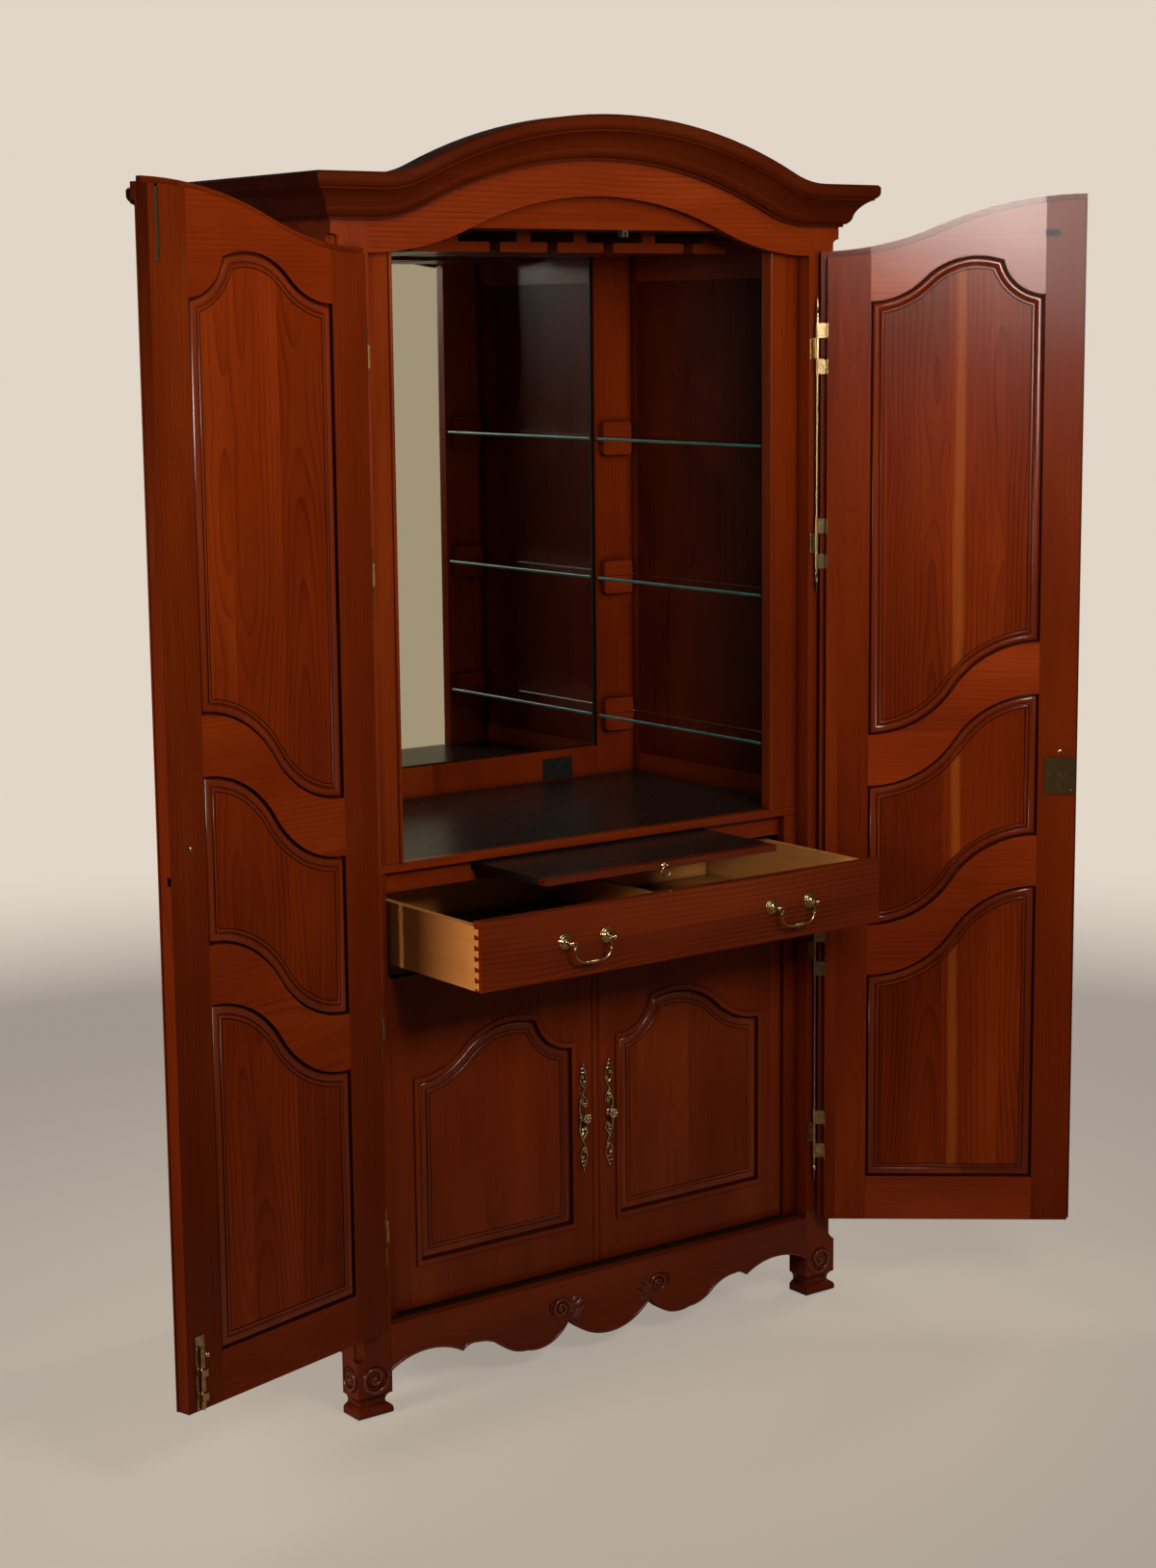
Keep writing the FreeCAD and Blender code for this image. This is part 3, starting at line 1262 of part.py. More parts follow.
def tray_wood():
    y = tray_front_y()
    half = TRAY_W / 2
    lip = box(-half, half, y, y + TRAY_LIP_D, TRAY_LOW_Z, TRAY_Z)
    board = box(-half, half, y + TRAY_LIP_D, y + TRAY_D, TRAY_LOW_Z, TRAY_Z)
    return lip, board


def ring_y():
    return tray_front_y() - RING_ROSE_T - EYE_R + EYE_WIRE_R


def ring_z():
    return (TRAY_Z + TRAY_LOW_Z) / 2


def ring_rose():
    y = tray_front_y()
    rose = [(0, 0), (TRAY_T / 2, 0), (TRAY_T / 2 - 1, 2), (2.6, RING_ROSE_T), (0, RING_ROSE_T)]
    plate_shape = turned(rose, vec(0, y, ring_z()), vec(0, -1, 0))
    eye = Part.makeTorus(EYE_R, EYE_WIRE_R, vec(0, ring_y(), ring_z()), vec(1, 0, 0))
    return plate_shape.fuse(eye).removeSplitter()


# The ring hangs in the bottom of the eye and turns about the point where it hangs.
def ring_hang_z():
    return ring_z() - EYE_R + EYE_WIRE_R + RING_WIRE_R + RING_CLEAR


def ring():
    return Part.makeTorus(RING_R, RING_WIRE_R, vec(0, ring_y(), ring_hang_z() - RING_R), vec(0, 1, 0))


def left_door():
    stiles, rails, panels = door_wood(LEFT_MEET_X, LEFT_MEET_X)
    stiles[1] = stiles[1].cut(top_bolt_groove()).cut(strike_pocket())
    pull_x = -LEFT_MEET_X - ASTRAGAL_W - PULL_X
    return {
        "left_door_stiles": solids(stiles),
        "left_door_rails": solids([rails]),
        "left_door_panels": panels,
        "left_door_leaves": door_leaves(),
        "left_door_astragal": astragal(),
        "left_door_pull": Part.makeCompound([scroll_pull(pull_x, PULL_Z, LIP_Y), pull_bolt(pull_x, PULL_Z)]),
        "left_bolt_plate": bolt_plate(),
        "left_bottom_bolt": bottom_bolt(),
        "left_top_bolt": top_bolt(0),
    }


def right_door():
    stiles, rails, panels = door_wood(RIGHT_MEET_X + RIGHT_REBATE, RIGHT_MEET_X)
    stiles[1] = stiles[1].cut(lock_pocket())
    pull_x = -RIGHT_MEET_X - LOCK_PLATE[0] / 2 - RIGHT_REBATE
    nodes = {
        "right_door_stiles": solids(stiles),
        "right_door_rails": solids([rails]),
        "right_door_panels": panels,
        "right_door_leaves": door_leaves(),
        "right_door_pull": Part.makeCompound([scroll_pull(pull_x, PULL_Z, LIP_Y), pull_bolt(pull_x, PULL_Z)]),
        "right_lock_plate": lock_plate(),
        "right_lock_bolt": lock_bolt(0),
        "right_catch_strike": catch_strike(),
    }
    return {name: mirrored(shape) for name, shape in nodes.items()}


def case():
    left_post = front_post()
    return {
        "left_front_post": left_post,
        "right_front_post": mirrored(left_post),
        "rear_posts": rear_posts(),
        "side_rails": side_rails(),
        "side_panels": side_panels(),
        "back_panel": back_panel(),
        "floor_board": floor_board(),
        "top_board": stepped_board(FRIEZE_T + HEADER_T, TOP_Z, TOP_Z + TOP_T),
        "apron": apron(),
        "frieze": frieze(),
        "header": header(),
        "cornice": solids([cornice_front(), cornice_returns()]),
        "inner_stiles": solids([upper_stiles(), lower_stiles()]),
        "bar_top": bar_top(),
        "bar_lipping": bar_lipping(),
        "mirror": mirror_glass(),
        "back_boards": back_boards(),
        "outlet": outlet(),
        "shelf_cleats": shelf_cleats(),
        "glass_shelves": glass_shelves(),
        "stemware_rack": stemware_rack(),
        "cross_rails": solids([tray_rail(), drawer_rail()]),
        "runners": runners(),
        "post_leaves": post_leaves(),
        "hinge_rods": hinge_rods(),
        "door_catch": door_catch(),
        "lower_pivots": lower_pivots(),
    }


def lower_doors():
    strip = LOWER_STRIP_W / 2
    left_frame, panel = lower_door(-strip - LOWER_GROOVE_W)
    right_frame, panel = lower_door(strip)
    pull = scroll_pull(-HANDLE_X, LOWER_Z + HANDLE_UP, LOWER_SET)
    return {
        "left_lower_frame": left_frame,
        "left_lower_panel": panel,
        "left_lower_pull": pull,
        "right_lower_frame": mirrored(right_frame),
        "right_lower_panel": mirrored(panel),
        "right_lower_pull": mirrored(pull),
    }


def drawer():
    front, sides, floor = drawer_wood()
    return {
        "drawer_front": front,
        "drawer_box": sides,
        "drawer_bottom": floor,
        "bail_posts": bail_posts(),
        "left_bail": bail(-BAIL_X),
        "right_bail": bail(BAIL_X),
    }


def serving_shelf():
    lip, board = tray_wood()
    return {"tray_lip": lip, "tray_board": board, "tray_ring_rose": ring_rose(), "tray_ring": ring()}


def whole_cabinet():
    nodes = case()
    nodes.update(lower_doors())
    for name, shape in left_door().items():
        nodes[name] = shape.rotated(vec(-AXIS_X, AXIS_Y, 0), UP, -LEFT_OPEN)
    for name, shape in right_door().items():
        nodes[name] = shape.rotated(vec(AXIS_X, AXIS_Y, 0), UP, RIGHT_OPEN)
    for name, shape in drawer().items():
        nodes[name] = shape.translated(vec(0, -DRAWER_OUT, 0))
    for name, shape in serving_shelf().items():
        nodes[name] = shape.translated(vec(0, -TRAY_OUT, 0))
    return nodes


# The origin lies on the ground under the middle of the open cabinet.
def ground_middle(nodes):
    bounds = Part.makeCompound(list(nodes.values())).BoundBox
    return vec(bounds.Center.x, bounds.Center.y, bounds.ZMin)


pieces = whole_cabinet()
origin = ground_middle(pieces)
os.makedirs("parts", exist_ok=True)
for name, shape in pieces.items():
    shape.translated(-origin).exportStep("parts/" + name + ".step")
print("pieces", len(pieces), "origin", origin)
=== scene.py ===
import math
import bpy
import numpy as np
from mathutils import Matrix, Vector


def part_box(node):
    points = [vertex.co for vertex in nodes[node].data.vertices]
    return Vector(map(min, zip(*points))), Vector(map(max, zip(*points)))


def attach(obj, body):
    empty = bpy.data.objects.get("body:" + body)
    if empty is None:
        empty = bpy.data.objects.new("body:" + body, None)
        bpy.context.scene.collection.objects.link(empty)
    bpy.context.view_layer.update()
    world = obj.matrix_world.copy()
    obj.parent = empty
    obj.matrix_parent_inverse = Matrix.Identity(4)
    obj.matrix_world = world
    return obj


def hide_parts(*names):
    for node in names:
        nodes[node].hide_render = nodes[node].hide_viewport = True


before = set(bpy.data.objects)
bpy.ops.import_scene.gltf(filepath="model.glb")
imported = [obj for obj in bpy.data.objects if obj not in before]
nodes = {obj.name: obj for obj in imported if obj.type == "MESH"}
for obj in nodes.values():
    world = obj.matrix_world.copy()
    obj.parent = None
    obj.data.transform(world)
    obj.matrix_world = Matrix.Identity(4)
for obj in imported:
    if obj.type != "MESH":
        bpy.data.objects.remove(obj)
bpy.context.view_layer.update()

scene = bpy.context.scene
scene.view_settings.view_transform = "Standard"

# Sizes below are millimetres in the cabinet's own frame:
# X from the middle, Y from the front of the posts, Z from the floor.
perMetre = 1000
friezeLow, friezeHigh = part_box("frieze")
caseMiddle = np.array([(friezeLow.x + friezeHigh.x) / 2, friezeLow.y, 0.0])


def inMetres(points):
    return np.asarray(points, float) / perMetre + caseMiddle


cameraSet = {"place": (-2987, -3967, 1887), "yaw": 36.4, "pitch": 9.36, "roll": -0.58, "lens": 64.32,
             "sensor": 36, "reach": 100}


def makeCamera(s):
    yaw, pitch, roll = (math.radians(s[k]) for k in ("yaw", "pitch", "roll"))
    ahead = Vector((math.sin(yaw) * math.cos(pitch), math.cos(yaw) * math.cos(pitch), -math.sin(pitch)))
    right = Vector((math.cos(yaw), -math.sin(yaw), 0))
    up = right.cross(ahead)
    rolledRight = math.cos(roll) * right + math.sin(roll) * up
    rolledUp = math.cos(roll) * up - math.sin(roll) * right
    data = bpy.data.cameras.new("photoCamera")
    data.sensor_width = s["sensor"]
    data.lens = s["lens"]
    data.clip_end = s["reach"]
    camera = bpy.data.objects.new("photoCamera", data)
    scene.collection.objects.link(camera)
    turn = Matrix((rolledRight, rolledUp, -ahead)).transposed().to_4x4()
    camera.matrix_world = Matrix.Translation(Vector(inMetres(s["place"]))) @ turn
    scene.camera = camera


makeCamera(cameraSet)
print("camera set")

studio = {  # the floor is a disc in metres that fades to the wall's colour between the two radii of rim
    "wall": (0.76, 0.67, 0.575), "floor": (0.60, 0.51, 0.42), "ambient": 0.04, "gloss": 0.08, "lift": 0.45,
    "rim": (1.3, 5.0), "past": 0.5, "under": 0.0005, "rings": 24, "steps": 96,
    "roughness": 0.6, "specular": 0.2,
}
lamps = {
    "keyBox": {"place": (-420, -2700, 2320), "aim": (-380, 0, 2130), "size": (0.9, 0.9), "watts": 31,
               "spread": 104, "tint": (1.0, 0.97, 0.93)},
    "sideBox": {"place": (-3200, -200, 1400), "aim": (-450, -180, 880), "size": (0.8, 0.8), "watts": 11,
                "spread": 70, "tint": (1.0, 0.93, 0.84)},
    "sheenBox": {"place": (-1875, -3980, 2300), "aim": (690, -165, 2040), "size": (0.6, 0.32), "watts": 0.5,
                 "spread": 20, "tint": (1.0, 0.93, 0.86)},
    "beadBox": {"place": (-1320, -3150, 3890), "aim": (690, -165, 1960), "size": (0.45, 1.8), "watts": 1.5,
                "spread": 36, "tint": (1.0, 0.96, 0.92)},
    "backBox": {"place": (300, 4200, 2700), "aim": (0, 600, 1150), "size": (1.2, 1.2), "watts": 9,
                "spread": 60, "tint": (1.0, 0.96, 0.92)},
    "rightBox": {"place": (3700, 900, 2400), "aim": (520, 330, 1150), "size": (1.0, 1.0), "watts": 5,
                 "spread": 50, "tint": (1.0, 0.96, 0.92)},
    "roomPanel": {"place": (2250, -3700, 1300), "aim": (-300, 600, 1400), "size": (1.7, 3.0), "watts": 6,
                  "spread": 180, "tint": (1.0, 0.79, 0.50)},
}


def softBox(name, s):
    data = bpy.data.lights.new(name, "AREA")
    data.shape = "RECTANGLE"
    data.size, data.size_y = s["size"]
    data.energy = s["watts"]
    data.color = s["tint"]
    data.spread = math.radians(s["spread"])
    lamp = bpy.data.objects.new(name, data)
    lamp.visible_camera = False
    scene.collection.objects.link(lamp)
    place, aim = Vector(inMetres(s["place"])), Vector(inMetres(s["aim"]))
    lamp.location = place
    lamp.rotation_euler = (aim - place).to_track_quat("-Z", "Y").to_euler()


# Short ways to add shader nodes.
def addNode(tree, kind, **settings):
    node = tree.nodes.new(kind)
    for key, value in settings.items():
        if hasattr(node, key):
            setattr(node, key, value)
        else:
            node.inputs[key].default_value = value
    return node


def math2(tree, operation, a, b=None, clamp=False):
    node = addNode(tree, "ShaderNodeMath", operation=operation, use_clamp=clamp)
    for socket, value in zip(node.inputs, (a, b)):
        if value is None:
            continue
        if isinstance(value, (int, float)):
            socket.default_value = value
        else:
            tree.links.new(value, socket)
    return node.outputs[0]


# value * factor + plus
def lineOf(tree, value, factor, plus):
    return math2(tree, "ADD", math2(tree, "MULTIPLY", value, factor), plus)


def mixColour(tree, share, a, b):
    node = addNode(tree, "ShaderNodeMix", data_type="RGBA", blend_type="MIX")
    for key, value in ((0, share), (6, a), (7, b)):
        if isinstance(value, bpy.types.NodeSocket):
            tree.links.new(value, node.inputs[key])
        else:
            node.inputs[key].default_value = (*value, 1) if key else value
    return node.outputs[2]


# 0 at the first end, 1 at the second, eased between
def softStep(tree, value, ends):
    node = addNode(tree, "ShaderNodeMapRange", interpolation_type="SMOOTHSTEP")
    node.inputs["From Min"].default_value, node.inputs["From Max"].default_value = ends
    tree.links.new(value, node.inputs["Value"])
    return node.outputs[0]


def noise(tree, vector, detail, roughness=0.5, scale=1.0):
    node = addNode(tree, "ShaderNodeTexNoise", Scale=scale, Detail=detail, Roughness=roughness)
    tree.links.new(vector, node.inputs["Vector"])
    return node.outputs[0]


def pieceNoise(tree, scale, detail):
    place = addNode(tree, "ShaderNodeTexCoord")
    return noise(tree, place.outputs["Object"], detail, scale=scale)


def newMaterial(name):
    material = bpy.data.materials.new(name)
    material.use_nodes = True
    tree = material.node_tree
    return material, tree, tree.nodes["Principled BSDF"]


def fullTurn(steps):
    return np.linspace(0, 2 * np.pi, steps, endpoint=False)


# A grid of points becomes quads: rows run along, columns across, and either way may close on itself.
def gridFaces(rows, columns, closeAcross, closeAlong=False):
    r = np.arange(rows if closeAlong else rows - 1)[:, None]
    c = np.arange(columns if closeAcross else columns - 1)[None, :]
    nextRow, nextColumn = (r + 1) % rows, (c + 1) % columns
    quads = np.stack([r * columns + c, r * columns + nextColumn, nextRow * columns + nextColumn,
                      nextRow * columns + c], -1)
    return quads.reshape(-1, 4)


# full strength for the camera and through glass, a share of it in reflections
def seenBy(tree, path, gloss):
    seen = math2(tree, "MAXIMUM", path.outputs["Is Camera Ray"], path.outputs["Is Transmission Ray"])
    return math2(tree, "MAXIMUM", seen, math2(tree, "MULTIPLY", path.outputs["Is Glossy Ray"], gloss))


def makeWorld(s):
    world = bpy.data.worlds.new("studio")
    scene.world = world
    world.use_nodes = True
    tree = world.node_tree
    back = tree.nodes["Background"]
    back.inputs[0].default_value = (*s["wall"], 1)
    path = addNode(tree, "ShaderNodeLightPath")
    tree.links.new(math2(tree, "MAXIMUM", seenBy(tree, path, s["gloss"]), s["ambient"]), back.inputs[1])


# The floor is a disc of rings: point = (radius cos turn, radius sin turn, just under 0).
def makeFloor(s):
    radius = np.linspace(0.0, s["rim"][1] + s["past"], s["rings"])[:, None]
    turn = fullTurn(s["steps"])[None, :]
    level = np.full((s["rings"], s["steps"]), -s["under"])
    points = np.stack([radius * np.cos(turn), radius * np.sin(turn), level], -1)
    mesh = bpy.data.meshes.new("studioFloor")
    mesh.from_pydata(points.reshape(-1, 3).tolist(), [], gridFaces(s["rings"], s["steps"], True).tolist())
    floor = bpy.data.objects.new("studioFloor", mesh)
    scene.collection.objects.link(floor)
    material, tree, skin = newMaterial("paleFloor")
    skin.inputs["Base Color"].default_value = (*s["floor"], 1)
    skin.inputs["Roughness"].default_value = s["roughness"]
    skin.inputs["Specular IOR Level"].default_value = s["specular"]
    place = addNode(tree, "ShaderNodeTexCoord")
    length = addNode(tree, "ShaderNodeVectorMath", operation="LENGTH")
    tree.links.new(place.outputs["Object"], length.inputs[0])
    fade = softStep(tree, length.outputs["Value"], s["rim"])
    glow = addNode(tree, "ShaderNodeEmission")
    glow.inputs[0].default_value = (*s["wall"], 1)
    path = addNode(tree, "ShaderNodeLightPath")
    tree.links.new(seenBy(tree, path, s["gloss"]), glow.inputs[1])
    mix = addNode(tree, "ShaderNodeMixShader")
    lifted = math2(tree, "MULTIPLY", path.outputs["Is Camera Ray"], s["lift"])
    tree.links.new(math2(tree, "MAXIMUM", fade, lifted), mix.inputs[0])
    tree.links.new(skin.outputs[0], mix.inputs[1])
    tree.links.new(glow.outputs[0], mix.inputs[2])
    tree.links.new(mix.outputs[0], tree.nodes["Material Output"].inputs[0])
    floor.data.materials.append(material)


makeWorld(studio)
makeFloor(studio)
for name, lamp in lamps.items():
    softBox(name, lamp)
print("studio set")


def newGroup(name, inputs, outputs):
    group = bpy.data.node_groups.new(name, "ShaderNodeTree")
    for way, sockets in (("INPUT", inputs), ("OUTPUT", outputs)):
        for label, kind in sockets:
            group.interface.new_socket(name=label, in_out=way, socket_type="NodeSocket" + kind)
    return group, group.nodes.new("NodeGroupInput"), group.nodes.new("NodeGroupOutput")


def scaledPoint(tree, x, y, z, scales):
    node = addNode(tree, "ShaderNodeCombineXYZ")
    for socket, value, scale in zip(node.inputs, (x, y, z), scales):
        tree.links.new(math2(tree, "MULTIPLY", value, scale), socket)
    return node.outputs[0]


grainSet = {
    # what sets one board off from the next
    "draw": 7.31, "alongShift": 23.0, "deepShift": 9.0, "boardTone": 0.38,
    # noises: scales across, deep and along, then detail and roughness
    "wander": ((2.0, 2.0, 1.1), 2.0, 0.5), "ripple": ((14.0, 14.0, 3.0), 2.0, 0.5),
    "fading": ((16.0, 16.0, 2.4), 1.0, 0.5), "streak": ((230.0, 230.0, 4.5), 3.0, 0.6),
    "cloud": ((7.0, 7.0, 1.6), 3.0, 0.5), "fleck": ((820.0, 820.0, 38.0), 1.0, 0.5),
    "pithDepth": (0.16, -0.045), "rippleReach": 0.010, "ringPower": 3.5, "fadeFrom": 0.25, "fadeGain": 1.6,
    "streakShare": 0.24, "ringShare": 0.50, "darken": 0.12, "pore": (0.60, 0.76), "poreShare": 0.35,
    "sapWander": 0.016, "sapEdge": (0.012, 0.004), "sapShare": 0.55,
    "streakRough": (0.12, 0.17), "cloudRough": 0.10, "streakHeight": 0.4,
}


# Grain runs along Z of its input. Rings are the distance from a pith that wanders in depth, so that flat
# faces show loops.
def grainGroup(s):
    group, given, out = newGroup(
        "woodGrain",
        [("Vector", "Vector"), ("Seed", "Float"), ("Board", "Float"), ("Pitch", "Float"), ("Figure", "Float"),
         ("Glue", "Float"), ("Light", "Color"), ("Middle", "Color"), ("Dark", "Color"), ("Sap", "Color"),
         ("SapAt", "Float")],
        [("Color", "Color"), ("Roughness", "Float"), ("Height", "Float")])
    split = addNode(group, "ShaderNodeSeparateXYZ")
    group.links.new(given.outputs["Vector"], split.inputs[0])
    x, y, z = split.outputs
    board = given.outputs["Board"]
    number = math2(group, "FLOOR", math2(group, "DIVIDE", x, board))
    chance = addNode(group, "ShaderNodeTexWhiteNoise", noise_dimensions="1D")
    group.links.new(lineOf(group, number, s["draw"], given.outputs["Seed"]), chance.inputs["W"])
    draw = addNode(group, "ShaderNodeSeparateColor")
    group.links.new(chance.outputs["Color"], draw.inputs[0])
    red, green, blue = draw.outputs
    middle = math2(group, "MULTIPLY", math2(group, "ADD", number, 0.5), board)
    pith = math2(group, "MULTIPLY", math2(group, "SUBTRACT", red, 0.5), board)
    across = math2(group, "SUBTRACT", math2(group, "SUBTRACT", x, middle), pith)
    along = lineOf(group, green, s["alongShift"], z)
    deep = lineOf(group, blue, s["deepShift"], y)

    def noiseOf(key):
        scales, detail, roughness = s[key]
        return noise(group, scaledPoint(group, across, deep, along, scales), detail, roughness)

    depth = lineOf(group, noiseOf("wander"), *s["pithDepth"])
    ripple = noiseOf("ripple")
    distance = math2(group, "SQRT", math2(group, "ADD", math2(group, "POWER", across, 2.0),
                                          math2(group, "POWER", depth, 2.0)))
    distance = lineOf(group, ripple, s["rippleReach"], distance)
    ring = math2(group, "FRACT", math2(group, "DIVIDE", distance, given.outputs["Pitch"]))
    ring = math2(group, "MULTIPLY", math2(group, "POWER", ring, s["ringPower"]), given.outputs["Figure"])
    fading = math2(group, "SUBTRACT", noiseOf("fading"), s["fadeFrom"])
    ring = math2(group, "MULTIPLY", ring, math2(group, "MULTIPLY", fading, s["fadeGain"], clamp=True))
    streak, cloud = noiseOf("streak"), noiseOf("cloud")
    pore = softStep(group, noiseOf("fleck"), s["pore"])
    tone = math2(group, "MULTIPLY", math2(group, "SUBTRACT", blue, 0.5), s["boardTone"])
    tone = math2(group, "MULTIPLY", tone, given.outputs["Glue"])
    value = lineOf(group, streak, s["streakShare"], cloud)
    value = math2(group, "ADD", value, math2(group, "SUBTRACT", tone, s["darken"]))
    value = math2(group, "SUBTRACT", value, math2(group, "MULTIPLY", ring, s["ringShare"]))
    # dark to middle over the lower half of the value, middle to light over the upper half
    low = math2(group, "MULTIPLY", value, 2.0, clamp=True)
    high = math2(group, "SUBTRACT", math2(group, "MULTIPLY", value, 2.0), 1.0, clamp=True)
    colour = mixColour(group, low, given.outputs["Dark"], given.outputs["Middle"])
    colour = mixColour(group, high, colour, given.outputs["Light"])
    # sapwood: one pale stripe along the grain, its border moved by the ripple
    edge = math2(group, "SUBTRACT", x, given.outputs["SapAt"])
    edge = lineOf(group, math2(group, "SUBTRACT", ripple, 0.5), s["sapWander"], edge)
    pale = softStep(group, math2(group, "ABSOLUTE", edge), s["sapEdge"])
    colour = mixColour(group, math2(group, "MULTIPLY", pale, s["sapShare"]), colour, given.outputs["Sap"])
    colour = mixColour(group, math2(group, "MULTIPLY", pore, s["poreShare"]), colour, given.outputs["Dark"])
    group.links.new(colour, out.inputs["Color"])
    rough = lineOf(group, cloud, s["cloudRough"], lineOf(group, streak, *s["streakRough"]))
    group.links.new(rough, out.inputs["Roughness"])
    height = math2(group, "SUBTRACT", math2(group, "MULTIPLY", streak, s["streakHeight"]), pore)
    group.links.new(height, out.inputs["Height"])
    return group


cornerShadeSet = {"samples": 6, "gain": 1.15}


# Painted shade in corners: the colour sinks to the shade colour where nearby faces close a point in.
def cornerShadeGroup(s):
    group, given, out = newGroup("paintedCornerShade", [("Color", "Color"), ("Shade", "Color"), ("Reach", "Float")],
                                 [("Color", "Color")])
    closed = addNode(group, "ShaderNodeAmbientOcclusion", samples=s["samples"])
    group.links.new(given.outputs["Reach"], closed.inputs["Distance"])
    share = math2(group, "SUBTRACT", 1.0, closed.outputs["AO"])
    share = math2(group, "MULTIPLY", share, s["gain"], clamp=True)
    colour = mixColour(group, share, given.outputs["Color"], given.outputs["Shade"])
    group.links.new(colour, out.inputs["Color"])
    return group


tarnishSet = {"largeScale": 90.0, "largeDetail": 3.0, "largeShare": 1.3, "smallScale": 900.0,
              "smallDetail": 2.0, "smallShare": 0.4, "bright": 0.45, "rough": (0.20, 0.13)}


# Tarnish: two sizes of cloud give a mask from rubbed metal to dark patina.
def tarnishGroup(s):
    group, given, out = newGroup("tarnish", [("Vector", "Vector"), ("Rubbed", "Color"), ("Patina", "Color")],
                                 [("Color", "Color"), ("Roughness", "Float")])
    large = noise(group, given.outputs["Vector"], s["largeDetail"], scale=s["largeScale"])
    small = noise(group, given.outputs["Vector"], s["smallDetail"], scale=s["smallScale"])
    share = lineOf(group, large, s["largeShare"], math2(group, "MULTIPLY", small, s["smallShare"]))
    share = math2(group, "SUBTRACT", share, s["bright"], clamp=True)
    colour = mixColour(group, share, given.outputs["Rubbed"], given.outputs["Patina"])
    group.links.new(colour, out.inputs["Color"])
    group.links.new(lineOf(group, share, *s["rough"]), out.inputs["Roughness"])
    return group


grain, cornerShade, tarnish = grainGroup(grainSet), cornerShadeGroup(cornerShadeSet), tarnishGroup(tarnishSet)

# colours of each wood with its painted corner shade, then the rings' pitch, the painted corner shade's reach
# and the edges' rounding in metres
cherrySet = {"sap": (0.27, 0.062, 0.0095), "light": (0.24, 0.036, 0.0040), "middle": (0.140, 0.0155, 0.0014),
             "dark": (0.065, 0.0062, 0.0007), "shade": (0.010, 0.0016, 0.0005),
             "pitch": 0.0085, "reach": 0.016, "round": 0.0012}
mapleSet = {"sap": (0.68, 0.33, 0.11), "light": (0.66, 0.29, 0.085), "middle": (0.54, 0.21, 0.053),
            "dark": (0.36, 0.125, 0.028), "shade": (0.10, 0.04, 0.012),
            "pitch": 0.006, "reach": 0.012, "round": 0.0008}
veneerSet = {"sap": (0.21, 0.095, 0.04), "light": (0.20, 0.085, 0.035), "middle": (0.13, 0.05, 0.02),
             "dark": (0.07, 0.026, 0.011), "shade": (0.02, 0.008, 0.004),
             "pitch": 0.006, "reach": 0.012, "round": 0.0008}
lacquerSet = {"shift": (0.37, 0.61, 0.83), "coatRough": 0.17, "specular": 0.03, "edgeSamples": 4,
              "bump": 0.12, "bumpDepth": 0.0004}
fullCoat = 0.3
panelGlue, frameGlue = 1.0, 0.2  # how far the glued boards differ in tone
noSap = 90.0  # metres: a stripe so far off never shows


# Turns a board's length into the grain's Z: up, across or back, once the turn of its door is undone.
def grainTurn(way, turn):
    lay = {"up": Matrix.Identity(3), "across": Matrix.Rotation(math.radians(-90), 3, "Y"),
           "back": Matrix.Rotation(math.radians(90), 3, "X")}[way]
    return (lay @ Matrix.Rotation(math.radians(-turn), 3, "Z")).to_euler("XYZ")


def woodMaterial(name, s, way, turn=0.0, seed=0.0, board=0.30, figure=0.6, tone=1.0, coat=fullCoat,
                 glue=frameGlue, sapAt=noSap):
    material, tree, skin = newMaterial(name)
    shift = [seed * step for step in lacquerSet["shift"]]
    place = addNode(tree, "ShaderNodeTexCoord")
    turned = addNode(tree, "ShaderNodeMapping", Rotation=grainTurn(way, turn), Location=shift)
    tree.links.new(place.outputs["Object"], turned.inputs["Vector"])
    wood = addNode(tree, "ShaderNodeGroup", node_tree=grain)
    tree.links.new(turned.outputs[0], wood.inputs["Vector"])
    for key, value in (("Seed", seed), ("Board", board), ("Pitch", s["pitch"]), ("Figure", figure),
                       ("Glue", glue), ("SapAt", sapAt + shift[0])):
        wood.inputs[key].default_value = value
    for key in ("Light", "Middle", "Dark", "Sap"):
        wood.inputs[key].default_value = (*[tone * c for c in s[key.lower()]], 1)
    # painted shade darkens the grain's colour in corners
    corner = addNode(tree, "ShaderNodeGroup", node_tree=cornerShade)
    corner.inputs["Shade"].default_value = (*s["shade"], 1)
    corner.inputs["Reach"].default_value = s["reach"]
    tree.links.new(wood.outputs["Color"], corner.inputs["Color"])
    tree.links.new(corner.outputs["Color"], skin.inputs["Base Color"])
    tree.links.new(wood.outputs["Roughness"], skin.inputs["Roughness"])
    skin.inputs["Coat Weight"].default_value = coat
    skin.inputs["Coat Roughness"].default_value = lacquerSet["coatRough"]
    skin.inputs["Specular IOR Level"].default_value = lacquerSet["specular"]
    edge = addNode(tree, "ShaderNodeBevel", samples=lacquerSet["edgeSamples"])
    edge.inputs["Radius"].default_value = s["round"]
    bump = addNode(tree, "ShaderNodeBump", Strength=lacquerSet["bump"], Distance=lacquerSet["bumpDepth"])
    tree.links.new(edge.outputs[0], bump.inputs["Normal"])
    tree.links.new(wood.outputs["Height"], bump.inputs["Height"])
    tree.links.new(bump.outputs[0], skin.inputs["Normal"])
    return material


brassSet = {"rubbed": (0.64, 0.44, 0.22), "patina": (0.13, 0.075, 0.033)}
pullBrassSet = {"rubbed": (0.78, 0.60, 0.36), "patina": (0.20, 0.135, 0.07)}
lockBrassSet = {"rubbed": (0.48, 0.30, 0.115), "patina": (0.21, 0.125, 0.045)}


